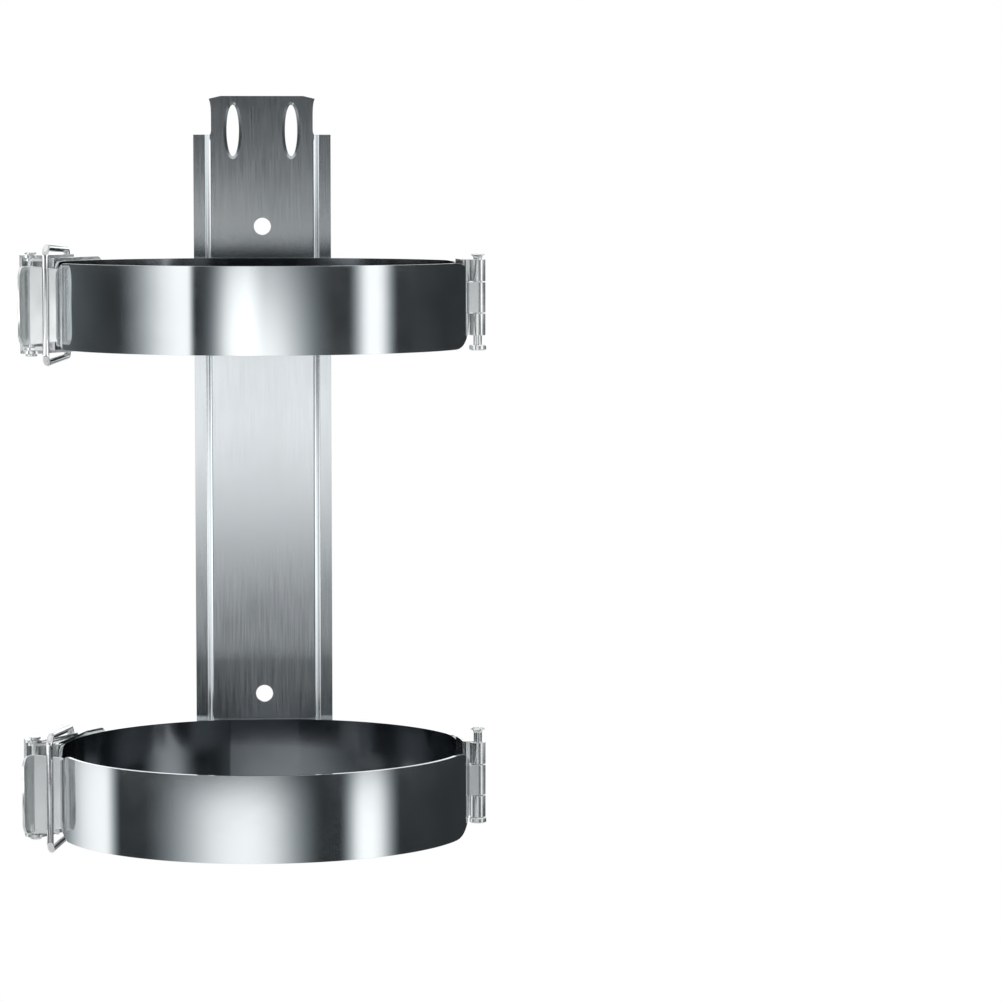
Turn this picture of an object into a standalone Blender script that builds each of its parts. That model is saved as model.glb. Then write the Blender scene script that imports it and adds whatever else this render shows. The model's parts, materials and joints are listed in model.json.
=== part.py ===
"""Fire extinguisher bracket: an upright back plate with two hinged clamp bands.

Each band is a fixed rear half and a swinging front half, joined at the right by a three-knuckle
butt hinge and held shut at the left by an over-centre lever with a wire bail and a hook keeper.

Units are metres. +Z is up, +X is to the right and the wall lies towards +Y. The origin is in the
wall plane, behind the middle of the lower round screw hole. A plan point is (X, Y) measured from
the middle of its band, and Y is negative on the swinging side.
"""

import math

import bmesh
import bpy
from mathutils import Matrix, Vector

# Clearances
SEAT_GAP = 0.0003
BORE_GAP = 0.0003
KNUCKLE_GAP = 0.0004
KNUCKLE_PLAY = 0.0004

# Back plate, one folded sheet with a raised web
PLATE_T = 0.0015
WEB_WIDTH = 0.049
WEB_STANDOFF = 0.004
JOGGLE_RUN = 0.0014
FLANGE_WIDTH = 0.0063
HOLE_PITCH = 0.2208
HOLE_R = 0.004
PLATE_FOOT_DROP = 0.0712
FLANGE_RISE = 0.0429
TONGUE_HEIGHT = 0.018
TONGUE_INSET = 0.0007
TONGUE_FILLET = 0.0024
HORN_REACH = 0.001
HORN_DROP = 0.0013
HORN_LENGTH = 0.0055
SLOT_WIDTH = 0.0058
SLOT_LENGTH = 0.024
SLOT_PITCH = 0.0273
SLOT_TOP_DROP = 0.0161
PANEL_MARGIN = 0.0018
PANEL_TOP_DROP = 0.0055
PANEL_LENGTH = 0.024
PANEL_DEPTH = 0.0003

# Clamp bands
LOWER_BAND_DROP = 0.0312
BAND_PITCH = 0.2182
BAND_BORE_R = 0.091
BAND_T = 0.0015
BAND_WIDTH = 0.038
SEAT_FLAT_WIDTH = 0.032
REAR_END_DROP = 0.0095
END_GAP = 0.004
LATCH_CUT_LENGTH = 0.0165
LATCH_CUT_HEIGHT = 0.0048
HINGE_CUT_LENGTH = 0.033
EDGE_BREAK = 0.0003

# Butt hinge, its leaves inside the bands and its knuckles outside
LEAF_T = 0.0012
HINGE_HEIGHT = 0.034
HINGE_LIFT = 0.003
LEAF_LENGTH = 0.02
LEAF_BEND_R = 0.0012
BAND_TO_LEAF = 0.0007
KNUCKLE_R = 0.0035
KNUCKLE_REACH = 0.0003
MIDDLE_KNUCKLE = 0.0136
ROLL_ANGLE = math.radians(285)

# Hinge pin, tubular above
PIN_FLOAT = 0.004
PIN_FLANGE_R = 0.0038
PIN_FLANGE_T = 0.0024
FLARE_R = 0.0034
FLARE_HEIGHT = 0.0016
FLARE_WALL = 0.0005
PIN_BORE_R = 0.0011
PIN_BORE_DEPTH = 0.004
PETALS = 5
PETAL_SLIT = 0.0007

# Latch base
BASE_T = 0.0012
EAR_T = 0.0012
BASE_LENGTH = 0.058
EAR_ROOT_START = 0.003
EAR_ROOT_END = 0.046
EAR_LOBE_R = 0.0032
BASE_CORNER_LENGTH = 0.004
BASE_CORNER_HEIGHT = 0.003

# Latch lever and its pin
LEVER_T = 0.0012
PIVOT_REACH = 0.011
PIVOT_SETBACK = 0.006
WEB_CLEARANCE = 0.0009
WEB_SETBACK = 0.0022
LEVER_LENGTH = 0.048
EYE_SETBACK = 0.028
EYE_REACH = 0.0003
EYE_LOBE_R = 0.0032
TAB_LENGTH = 0.013
TAB_CURL = math.radians(30)
TAB_HEIGHT = 0.028
TAB_CORNER_LENGTH = 0.005
TAB_CORNER_HEIGHT = 0.0045
LEVER_PIN_R = 0.0016
LEVER_HEAD_R = 0.0026
LEVER_HEAD_T = 0.001

# Wire bail
WIRE_R = 0.0015
BAR_REACH = 0.0035
ARM_GAP = 0.0007
ARM_SPREAD = 0.0015
BAR_BEND_R = 0.0038
EYE_BEND_R = 0.0021

# Keeper on the front band
KEEPER_T = 0.0012
KEEPER_HEIGHT = 0.035
KEEPER_LEG = 0.022
KEEPER_BACK_GAP = 0.001
CROOK_WIDTH = 0.008
LIP_LENGTH = 0.0086
LIP_LEAN = math.radians(24)
KEEPER_BEND_R = 0.0018
KEEPER_CORNER_LENGTH = 0.0045
KEEPER_CORNER_HEIGHT = 0.004

# How an edge falls towards a cut end: the power of what is left of the cut's length
STRAIGHT = 1
SWEPT = 2
ROUND = 3

# Facets
ARC_STEP = math.radians(4.5)
FINE_STEP = math.radians(18)
ROUND_SEGMENTS = 28
SMOOTH_ANGLE = math.radians(32)

# Sizes that follow from the ones above
UPPER_HOLE_Z = HOLE_PITCH
FLANGE_TOP_Z = UPPER_HOLE_Z + FLANGE_RISE
PLATE_TOP_Z = FLANGE_TOP_Z + TONGUE_HEIGHT
WEB_BACK_Y = -WEB_STANDOFF
WEB_FRONT_Y = WEB_BACK_Y - PLATE_T
BAND_Z = {"lower": -LOWER_BAND_DROP, "upper": BAND_PITCH - LOWER_BAND_DROP}
BAND_R = BAND_BORE_R + BAND_T / 2
BAND_OUTER_R = BAND_BORE_R + BAND_T
FLAT_Y = math.sqrt(BAND_R ** 2 - (SEAT_FLAT_WIDTH / 2) ** 2)
AXIS_Y = WEB_FRONT_Y - SEAT_GAP - FLAT_Y - BAND_T / 2
FRONT_END_DROP = REAR_END_DROP + END_GAP
LATCH_CUT = (LATCH_CUT_LENGTH, LATCH_CUT_HEIGHT, LATCH_CUT_HEIGHT, STRAIGHT)
TAB_TOP = HINGE_LIFT + MIDDLE_KNUCKLE / 2
TAB_FOOT = HINGE_LIFT - MIDDLE_KNUCKLE / 2
HINGE_CUT = (HINGE_CUT_LENGTH, BAND_WIDTH / 2 - TAB_TOP, BAND_WIDTH / 2 + TAB_FOOT, SWEPT)
HINGE_END_DROP = KNUCKLE_R + BAND_TO_LEAF
LEAF_R = BAND_BORE_R - SEAT_GAP - LEAF_T / 2
ROLL_R = KNUCKLE_R - LEAF_T / 2
PIN_X = BAND_OUTER_R + KNUCKLE_REACH + KNUCKLE_R
PIN_R = KNUCKLE_R - LEAF_T - KNUCKLE_PLAY
BASE_R = BAND_OUTER_R + SEAT_GAP + BASE_T / 2
BASE_SIDE_Z = BAND_WIDTH / 2 + SEAT_GAP + EAR_T
LEVER_EAR_Z = BASE_SIDE_Z + SEAT_GAP
LEVER_SIDE_Z = LEVER_EAR_Z + LEVER_T
PIVOT = (-(BAND_OUTER_R + PIVOT_REACH), PIVOT_SETBACK)
EYE = (-math.sqrt((BAND_OUTER_R + EYE_REACH) ** 2 - EYE_SETBACK ** 2), EYE_SETBACK)
PIVOT_TO_WEB = EAR_LOBE_R + WEB_CLEARANCE + LEVER_T / 2
WEB_R = math.hypot(*PIVOT) + PIVOT_TO_WEB
KEEPER_R = BAND_BORE_R - SEAT_GAP - KEEPER_T / 2
KEEPER_Y = -(REAR_END_DROP + KEEPER_BACK_GAP + KEEPER_T / 2)
BAR = (-(BAND_OUTER_R + BAR_REACH), KEEPER_Y - KEEPER_T / 2 - SEAT_GAP - WIRE_R)

FINISHES = {
    "satin_stainless": ((0.62, 0.64, 0.65, 1.0), 0.34),
    "polished_stainless": ((0.70, 0.71, 0.72, 1.0), 0.12),
    "stamped_stainless": ((0.72, 0.72, 0.71, 1.0), 0.28),
    "bright_wire": ((0.76, 0.76, 0.76, 1.0), 0.20),
}


# Scene

def clear_scene():
    """Remove whatever objects the file opened with."""
    for item in list(bpy.data.objects):
        bpy.data.objects.remove(item, do_unlink=True)


def make_collection(name):
    """Return a new collection linked to the scene."""
    collection = bpy.data.collections.new(name)
    bpy.context.scene.collection.children.link(collection)
    return collection


def make_finish(name):
    """Return a Principled material for one of the metal finishes."""
    color, roughness = FINISHES[name]
    material = bpy.data.materials.new(name)
    material.use_nodes = True
    shader = material.node_tree.nodes["Principled BSDF"]
    shader.inputs["Base Color"].default_value = color
    shader.inputs["Roughness"].default_value = roughness
    shader.inputs["Metallic"].default_value = 1.0
    material.diffuse_color = color
    return material


def add_object(name, data, place, finish=None):
    """Put a mesh or a curve in the parts collection, or with no finish in the cutters one."""
    item = bpy.data.objects.new(name, data)
    if finish is None:
        CUTTERS.objects.link(item)
        item.hide_render = True
        item.display_type = "WIRE"
    else:
        PARTS.objects.link(item)
        item.data.materials.append(MATERIALS[finish])
    item.location = place
    return item


def mesh_object(name, bm, place, finish):
    """Turn a bmesh into an object."""
    mesh = bpy.data.meshes.new(name)
    bm.to_mesh(mesh)
    bm.free()
    return add_object(name, mesh, place, finish)


def add_pivot(name, place, items):
    """Put an empty on a joint's axis and parent the pieces that turn there to it."""
    pivot = bpy.data.objects.new(name, None)
    pivot.empty_display_size = KNUCKLE_R
    PARTS.objects.link(pivot)
    pivot.location = place
    for item in items:
        item.location = item.location - pivot.location
        item.parent = pivot


# Outlines

def polar(radius, angle):
    """A point on a circle about the origin."""
    return (radius * math.cos(angle), radius * math.sin(angle))


def arc(centre, radius, start, end, step):
    """Points along an arc, both ends included."""
    count = max(2, math.ceil(abs(end - start) / step))
    angles = [start + (end - start) * i / count for i in range(count + 1)]
    return [(centre[0] + radius * math.cos(a), centre[1] + radius * math.sin(a)) for a in angles]


def between(a, b, count):
    """Points on a straight run, a included and b left out."""
    return [(a[0] + (b[0] - a[0]) * i / count, a[1] + (b[1] - a[1]) * i / count) for i in range(count)]


def rounded(points, radius, step):
    """Round the inner corners of an open line of points."""
    result = [points[0]]
    for before, corner, after in zip(points, points[1:], points[2:]):
        a = (Vector(before) - Vector(corner)).normalized()
        b = (Vector(after) - Vector(corner)).normalized()
        half = a.angle(b) / 2
        centre = Vector(corner) + (a + b).normalized() * radius / math.sin(half)
        run = radius / math.tan(half)
        start = Vector(corner) + a * run - centre
        end = Vector(corner) + b * run - centre
        side = math.copysign(1, start.x * end.y - start.y * end.x)
        first = math.atan2(start.y, start.x)
        result += arc(centre, radius, first, first + side * (math.pi - 2 * half), step)
    return result + [points[-1]]


def turn_of(a, b, c):
    """Positive where a, b and c turn to the left."""
    return (b[0] - a[0]) * (c[1] - a[1]) - (b[1] - a[1]) * (c[0] - a[0])


def hull(points):
    """Convex outline around points."""
    cloud = sorted(set(points))
    outline = []
    for run in (cloud, cloud[::-1]):
        chain = []
        for p in run:
            while len(chain) > 1 and turn_of(chain[-2], chain[-1], p) <= 0:
                chain.pop()
            chain.append(p)
        outline += chain[:-1]
    return outline


def disc(centre, radius):
    """Points around a circle."""
    return arc(centre, radius, 0, 2 * math.pi, FINE_STEP)[:-1]


def distances(points):
    """Distance along a line of points at each of them."""
    run = [0.0]
    for a, b in zip(points, points[1:]):
        run.append(run[-1] + math.dist(a, b))
    return run


def end_cut(distance, length, height, power):
    """How far an edge is cut back at a distance from its end."""
    return height * max(0.0, 1 - distance / length) ** power


# Solids

def sheet(name, path, heights, place, thickness, finish, keep=None):
    """Bend a sheet along a line seen from above.

    heights(i) lists the levels of the sheet at point i, and keep(i, row) says whether the sheet
    is there between points i and i + 1. The line runs through the middle of the thickness.
    """
    bm = bmesh.new()
    columns = [[bm.verts.new((x, y, z)) for z in heights(i)] for i, (x, y) in enumerate(path)]
    for i, (near, far) in enumerate(zip(columns, columns[1:])):
        for row in range(len(near) - 1):
            if keep is None or keep(i, row):
                bm.faces.new((near[row], far[row], far[row + 1], near[row + 1]))
    bmesh.ops.delete(bm, geom=[v for v in bm.verts if not v.link_faces], context="VERTS")
    item = mesh_object(name, bm, place, finish)
    solid = item.modifiers.new("Thickness", "SOLIDIFY")
    solid.thickness = thickness
    solid.offset = 0
    solid.use_even_offset = True
    return item


def slab(name, outline, low, high, place, upright=False):
    """Raise an outline in plan along Z or, upright, an outline in X and Z along Y."""
    curve = bpy.data.curves.new(name, "CURVE")
    curve.dimensions = "2D"
    curve.fill_mode = "BOTH"
    curve.extrude = (high - low) / 2
    spline = curve.splines.new("POLY")
    spline.points.add(len(outline) - 1)
    for point, (x, y) in zip(spline.points, outline):
        point.co = (x, y, 0, 1)
    spline.use_cyclic_u = True
    middle = (high + low) / 2
    offset = Vector((0, middle, 0)) if upright else Vector((0, 0, middle))
    shape = add_object(name + "_outline", curve, Vector(place) + offset)
    if upright:
        shape.rotation_euler = (math.pi / 2, 0, 0)
    return as_mesh(name, shape)


def as_mesh(name, shape):
    """Make a cutter mesh of a curve, weld its caps and remove the curve."""
    bpy.context.view_layer.update()
    evaluated = shape.evaluated_get(bpy.context.evaluated_depsgraph_get())
    mesh = bpy.data.meshes.new_from_object(evaluated)
    matrix = shape.matrix_world.copy()
    bpy.data.objects.remove(shape, do_unlink=True)
    bm = bmesh.new()
    bm.from_mesh(mesh)
    bmesh.ops.remove_doubles(bm, verts=bm.verts, dist=1e-6)
    bmesh.ops.recalc_face_normals(bm, faces=bm.faces)
    bm.to_mesh(mesh)
    bm.free()
    item = add_object(name, mesh, (0, 0, 0))
    item.matrix_world = matrix
    return item


def cylinder(name, radius, height, place, upright=True):
    """A round cutter, centred on its place, along Z or along Y."""
    bm = bmesh.new()
    bmesh.ops.create_cone(bm, cap_ends=True, segments=ROUND_SEGMENTS, radius1=radius,
                          radius2=radius, depth=height)
    item = mesh_object(name, bm, place, None)
    if not upright:
        item.rotation_euler = (math.pi / 2, 0, 0)
    return item


def turned(name, profile, place, finish):
    """Spin a closed profile of (radius, height) points about Z."""
    mesh = bpy.data.meshes.new(name)
    edges = [(i, i + 1) for i in range(len(profile) - 1)]
    mesh.from_pydata([(r, 0, z) for r, z in profile], edges, [])
    item = add_object(name, mesh, place, finish)
    screw = item.modifiers.new("Turn", "SCREW")
    screw.steps = ROUND_SEGMENTS
    screw.render_steps = ROUND_SEGMENTS
    screw.use_merge_vertices = True
    screw.merge_threshold = 1e-6
    screw.use_smooth_shade = True
    return item


def combine(item, other, operation):
    """Join or cut an item with another, which stays as a helper."""
    step = item.modifiers.new(operation.title(), "BOOLEAN")
    step.operation = operation
    step.solver = "EXACT"
    step.object = other


def bore(item, label, spot, radius, height, place):
    """Bore a round hole along Z through the whole item."""
    centre = Vector(place) + Vector((*spot, 0))
    combine(item, cylinder(f"{item.name}_{label}", radius, height, centre), "DIFFERENCE")


def break_edges(item):
    """Take the sharpness off the cut edges of a bent sheet and shade its bends smooth."""
    step = item.modifiers.new("Edges", "BEVEL")
    step.width = EDGE_BREAK
    step.segments = 1
    step.limit_method = "ANGLE"
    step.angle_limit = SMOOTH_ANGLE
    item.data.shade_smooth()


# Back plate

def tongue_outline():
    """Top tongue in X and Z: hollowed sides, a small horn at each upper corner."""
    root = WEB_WIDTH / 2
    waist = root - TONGUE_INSET
    horn = waist + HORN_REACH
    horn_z = PLATE_TOP_Z - HORN_DROP
    side = [(root, FLANGE_TOP_Z - TONGUE_FILLET), (root, FLANGE_TOP_Z)]
    for i in range(1, 5):
        turn = math.pi / 2 * i / 4
        x = root - TONGUE_INSET * math.sin(turn)
        side.append((x, FLANGE_TOP_Z + TONGUE_FILLET * (1 - math.cos(turn))))
    shoulder = side[-1][1]
    for share in (0.35, 0.6, 0.8, 0.92):
        side.append((waist + HORN_REACH * share ** 6, shoulder + (horn_z - shoulder) * share))
    side += [(horn, horn_z), (horn - HORN_LENGTH, PLATE_TOP_Z)]
    return side + [(-x, z) for x, z in reversed(side)]


def slot_outline(x, z):
    """Outline of one slot, an upright ellipse."""
    half = SLOT_WIDTH / 2
    reach = SLOT_LENGTH / 2
    return [(x + half * c, z + reach * s) for c, s in arc((0, 0), 1, 0, 2 * math.pi, FINE_STEP)[:-1]]


def panel_outline():
    """Shallow pressed panel between the slots, rounded at its upper corners."""
    half = SLOT_PITCH / 2 - SLOT_WIDTH / 2 - PANEL_MARGIN
    top = PLATE_TOP_Z - PANEL_TOP_DROP
    low = top - PANEL_LENGTH
    return rounded([(half, low), (half, top), (-half, top), (-half, low)], PANEL_MARGIN, FINE_STEP * 2)


def build_back_plate():
    """Web with joggled flanges, a top tongue, two upright slots and two round screw holes."""
    web = WEB_WIDTH / 2
    web_y = (WEB_BACK_Y + WEB_FRONT_Y) / 2
    flange_y = -PLATE_T / 2
    half = [(web, web_y), (web + JOGGLE_RUN, flange_y), (web + JOGGLE_RUN + FLANGE_WIDTH, flange_y)]
    path = [(-x, y) for x, y in reversed(half)] + half
    plate = sheet("back_plate", path, lambda i: (-PLATE_FOOT_DROP, FLANGE_TOP_Z), (0, 0, 0),
                  PLATE_T, "satin_stainless")
    tongue = slab("tongue_shape", tongue_outline(), WEB_FRONT_Y, WEB_BACK_Y, (0, 0, 0), True)
    combine(plate, tongue, "UNION")
    front = WEB_FRONT_Y - PLATE_T
    back = WEB_BACK_Y + PLATE_T
    panel = slab("panel_cut", panel_outline(), front, WEB_FRONT_Y + PANEL_DEPTH, (0, 0, 0), True)
    combine(plate, panel, "DIFFERENCE")
    for side in (-1, 1):
        outline = slot_outline(side * SLOT_PITCH / 2, PLATE_TOP_Z - SLOT_TOP_DROP)
        combine(plate, slab(f"slot_cut_{side}", outline, front, back, (0, 0, 0), True), "DIFFERENCE")
    for label, z in (("lower", 0), ("upper", UPPER_HOLE_Z)):
        hole = cylinder(label + "_hole_cut", HOLE_R, back - front, (0, web_y, z), False)
        combine(plate, hole, "DIFFERENCE")


# Clamp bands

def band_angles(start, end, first_cut, last_cut):
    """Angles along a half ring, closer together where its ends are cut back.

    A cut is (length, height taken off above, height taken off below, power).
    """
    first = first_cut[0] / BAND_R
    last = last_cut[0] / BAND_R
    shares = [(i / 6) ** 2 for i in range(7)]
    count = math.ceil((end - start - first - last) / ARC_STEP)
    step = (end - start - first - last) / count
    middle = [start + first + step * i for i in range(1, count)]
    return [start + first * s for s in shares] + middle + [end - last * s for s in reversed(shares)]


def build_band(name, angles, cuts, place):
    """A half ring whose two ends are cut back."""
    path = [polar(BAND_R, a) for a in angles]
    run = distances(path)

    def heights(i):
        top = foot = BAND_WIDTH / 2
        for distance, (length, above, below, power) in zip((run[i], run[-1] - run[i]), cuts):
            top -= end_cut(distance, length, above, power)
            foot -= end_cut(distance, length, below, power)
        return (-foot, top)

    band = sheet(name, path, heights, place, BAND_T, "polished_stainless")
    break_edges(band)
    return band


def rear_angles():
    """Angles of the fixed half, from the hinge to the latch, with its flat seat on the plate."""
    start = math.asin(HINGE_END_DROP / BAND_R)
    end = math.pi + math.asin(REAR_END_DROP / BAND_R)
    flat = math.asin(SEAT_FLAT_WIDTH / 2 / BAND_R)
    angles = band_angles(start, end, HINGE_CUT, LATCH_CUT)
    spare = flat + ARC_STEP / 3
    before = [a for a in angles if a < math.pi / 2 - spare]
    after = [a for a in angles if a > math.pi / 2 + spare]
    return before + [math.pi / 2 - flat, math.pi / 2 + flat] + after


def front_angles():
    """Angles of the swinging half, from the latch to the hinge."""
    start = math.pi + math.asin(FRONT_END_DROP / BAND_R)
    end = 2 * math.pi - math.asin(HINGE_END_DROP / BAND_R)
    return band_angles(start, end, LATCH_CUT, HINGE_CUT)


# Hinge

def build_leaf(name, side, place):
    """Hinge leaf: side 1 is the rear leaf with two knuckles, -1 the front one with the middle one.

    The wing lies inside the band, turns out past the band's end and rolls round the pin.
    """
    tip = math.asin(LEAF_LENGTH / LEAF_R)
    root = math.asin(HINGE_END_DROP / LEAF_R)
    wing = arc((0, 0), LEAF_R, side * tip, side * root, ARC_STEP)
    corner = (math.sqrt(LEAF_R ** 2 - ROLL_R ** 2), side * ROLL_R)
    turn_out = rounded([wing[-1], corner, (PIN_X, side * ROLL_R)], LEAF_BEND_R, FINE_STEP)
    first = side * math.pi / 2
    roll = arc((PIN_X, 0), ROLL_R, first, first - side * ROLL_ANGLE, FINE_STEP)
    path = wing + turn_out[1:-1] + roll
    half = HINGE_HEIGHT / 2
    inner = MIDDLE_KNUCKLE / 2 + (KNUCKLE_GAP if side > 0 else 0)
    levels = (-half, -inner, inner, half) if side > 0 else (-inner, inner)

    def keep(i, row):
        return side < 0 or row != 1 or i < len(wing) - 1

    leaf = sheet(name, path, lambda i: levels, place, LEAF_T, "stamped_stainless", keep)
    leaf.data.shade_smooth()
    return leaf


def flare_profile(top):
    """Inner and outer side of the flared end, both from the top of the hinge upwards."""
    outer = []
    inner = []
    for i in range(4):
        turn = math.pi / 2 * i / 3
        rise = FLARE_HEIGHT * math.sin(turn)
        spread = 1 - math.cos(turn)
        outer.append((PIN_R + (FLARE_R - PIN_R) * spread, top + rise))
        inner.append((PIN_BORE_R + (FLARE_R - FLARE_WALL - PIN_BORE_R) * spread, top + rise + FLARE_WALL))
    return inner, outer


def build_hinge_pin(name, place):
    """Turned pin, a flat head below and a tubular end above, flared and split into petals."""
    top = HINGE_HEIGHT / 2 + SEAT_GAP
    low = -top - PIN_FLOAT
    foot = low - PIN_FLANGE_T
    inner, outer = flare_profile(top)
    chamfer = PIN_FLANGE_T / 6
    head = [(PIN_R, low), (PIN_FLANGE_R - chamfer, low), (PIN_FLANGE_R, low - chamfer),
            (PIN_FLANGE_R, foot + chamfer), (PIN_FLANGE_R - chamfer, foot), (0, foot)]
    floor = [(0, top - PIN_BORE_DEPTH), (PIN_BORE_R, top - PIN_BORE_DEPTH)]
    pin = turned(name, floor + inner + outer[::-1] + head, place, "stamped_stainless")
    bm = bmesh.new()
    slit_low = top + FLARE_HEIGHT / 3
    slit_high = top + 2 * FLARE_HEIGHT + FLARE_WALL
    for i in range(PETALS):
        made = bmesh.ops.create_cube(bm, size=1.0)["verts"]
        bmesh.ops.scale(bm, verts=made, vec=(FLARE_R, PETAL_SLIT, slit_high - slit_low))
        bmesh.ops.translate(bm, verts=made, vec=(PIN_R + FLARE_R / 2, 0, (slit_low + slit_high) / 2))
        turn = Matrix.Rotation(2 * math.pi * i / PETALS, 3, "Z")
        bmesh.ops.rotate(bm, verts=made, cent=(0, 0, 0), matrix=turn)
    combine(pin, mesh_object(name + "_slits", bm, place, None), "DIFFERENCE")
    return pin


# Latch

def build_base(name, place):
    """Curved strip on the rear band with two ears that carry the lever's pin."""
    end = math.pi - math.asin(BASE_LENGTH / BASE_R)
    path = arc((0, 0), BASE_R, math.pi, end, ARC_STEP)
    path = path[:-1] + [polar(BASE_R, end + BASE_CORNER_LENGTH / BASE_R), path[-1]]
    run = distances(path)

    def heights(i):
        drop = end_cut(run[-1] - run[i], BASE_CORNER_LENGTH, BASE_CORNER_HEIGHT, STRAIGHT)
        return (drop - BASE_SIDE_Z, BASE_SIDE_Z - drop)

    base = sheet(name, path, heights, place, BASE_T, "stamped_stainless")
    roots = [polar(BASE_R, math.pi - math.asin(y / BASE_R)) for y in (EAR_ROOT_START, EAR_ROOT_END)]
    outline = hull(disc(PIVOT, EAR_LOBE_R) + roots)
    add_ears(base, outline, BASE_SIDE_Z - EAR_T, BASE_SIDE_Z, place)
    bore(base, "pin_bore", PIVOT, LEVER_PIN_R + BORE_GAP, 3 * BASE_SIDE_Z, place)
    return base


def add_ears(item, outline, near, far, place):
    """Join a pair of level ears, above and below the middle of the band."""
    upper = slab(item.name + "_upper_ear", outline, near, far, place)
    lower = slab(item.name + "_lower_ear", outline, -far, -near, place)
    combine(item, upper, "UNION")
    combine(item, lower, "UNION")


def build_lever(name, place):
    """Channel lever: two ears outside those of the base, a web and a curled finger tab."""
    start = math.pi - math.asin((PIVOT_SETBACK + WEB_SETBACK) / WEB_R)
    end = start - LEVER_LENGTH / WEB_R
    web_path = arc((0, 0), WEB_R, start, end, ARC_STEP)
    curl_r = TAB_LENGTH / TAB_CURL
    centre = polar(WEB_R + curl_r, end)
    first = end + math.pi
    tab = arc(centre, curl_r, first, first + TAB_CURL, TAB_CURL / 6)[1:]
    path = web_path + tab
    run = distances(path)

    def heights(i):
        if i < len(web_path):
            return (-LEVER_SIDE_Z, LEVER_SIDE_Z)
        drop = end_cut(run[-1] - run[i], TAB_CORNER_LENGTH, TAB_CORNER_HEIGHT, ROUND)
        return (drop - TAB_HEIGHT / 2, TAB_HEIGHT / 2 - drop)

    lever = sheet(name, path, heights, place, LEVER_T, "stamped_stainless")
    outline = hull(disc(PIVOT, PIVOT_TO_WEB) + disc(EYE, EYE_LOBE_R) + web_path)
    add_ears(lever, outline, LEVER_EAR_Z, LEVER_SIDE_Z, place)
    bore(lever, "pin_bore", PIVOT, LEVER_PIN_R + BORE_GAP, 3 * LEVER_SIDE_Z, place)
    bore(lever, "eye_bore", EYE, WIRE_R + BORE_GAP, 3 * LEVER_SIDE_Z, place)
    return lever


def build_lever_pin(name, place):
    """Turned pin through the four ears, with a head at each end."""
    under = LEVER_SIDE_Z + SEAT_GAP
    over = under + LEVER_HEAD_T
    chamfer = LEVER_HEAD_T / 4
    upper = [(0, over), (LEVER_HEAD_R - chamfer, over), (LEVER_HEAD_R, over - chamfer),
             (LEVER_HEAD_R, under), (LEVER_PIN_R, under)]
    return turned(name, upper + [(r, -z) for r, z in reversed(upper)], place, "stamped_stainless")


def build_bail(name, place):
    """Round wire loop whose bent ends sit in the ears of the lever."""
    reach = math.dist(EYE, BAR)
    arm_z = LEVER_SIDE_Z + ARM_GAP + WIRE_R
    bar_z = arm_z + ARM_SPREAD
    middle = (reach / 2, (arm_z + bar_z) / 2)
    eye_end = rounded([(0, LEVER_EAR_Z), (0, arm_z), middle], EYE_BEND_R, FINE_STEP)
    bar_end = rounded([middle, (reach, bar_z), (reach, 0)], BAR_BEND_R, FINE_STEP)
    upper = eye_end + bar_end[1:-1]
    points = upper + [(run, -z) for run, z in reversed(upper)]
    curve = bpy.data.curves.new(name, "CURVE")
    curve.dimensions = "3D"
    curve.bevel_depth = WIRE_R
    curve.bevel_resolution = 3
    curve.use_fill_caps = True
    spline = curve.splines.new("POLY")
    spline.points.add(len(points) - 1)
    along = (Vector(BAR) - Vector(EYE)) / reach
    for point, (run, z) in zip(spline.points, points):
        point.co = (EYE[0] + along.x * run, EYE[1] + along.y * run, z, 1)
    return add_object(name, curve, place, "bright_wire")


def build_keeper(name, place):
    """Hook on the front band: a leg inside its end, a web across the gap and a flared lip."""
    band_end = math.pi + math.asin(FRONT_END_DROP / BAND_R)
    leg = arc((0, 0), KEEPER_R, band_end + KEEPER_LEG / KEEPER_R, band_end, ARC_STEP)
    corner = polar(KEEPER_R, math.pi + math.asin(-KEEPER_Y / KEEPER_R))
    outer = (BAR[0] - CROOK_WIDTH, KEEPER_Y)
    lip = (outer[0] - LIP_LENGTH * math.sin(LIP_LEAN), outer[1] - LIP_LENGTH * math.cos(LIP_LEAN))
    bends = rounded([leg[-1], corner, outer, lip], KEEPER_BEND_R, FINE_STEP)
    path = leg[:-1] + bends[:-1] + between(bends[-2], lip, 5)[1:] + [lip]
    run = distances(path)
    leg_run = run[len(leg) - 1]
    leg_half = BAND_WIDTH / 2 - LATCH_CUT_HEIGHT

    def heights(i):
        rise = min(1.0, max(0.0, (run[i] - leg_run) / (2 * KEEPER_CORNER_HEIGHT)))
        arch = math.sin(rise * math.pi / 2)
        half = leg_half + (KEEPER_HEIGHT / 2 - leg_half) * arch
        half -= end_cut(run[-1] - run[i], KEEPER_CORNER_LENGTH, KEEPER_CORNER_HEIGHT, ROUND)
        return (-half, half)

    keeper = sheet(name, path, heights, place, KEEPER_T, "stamped_stainless")
    break_edges(keeper)
    return keeper


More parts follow.
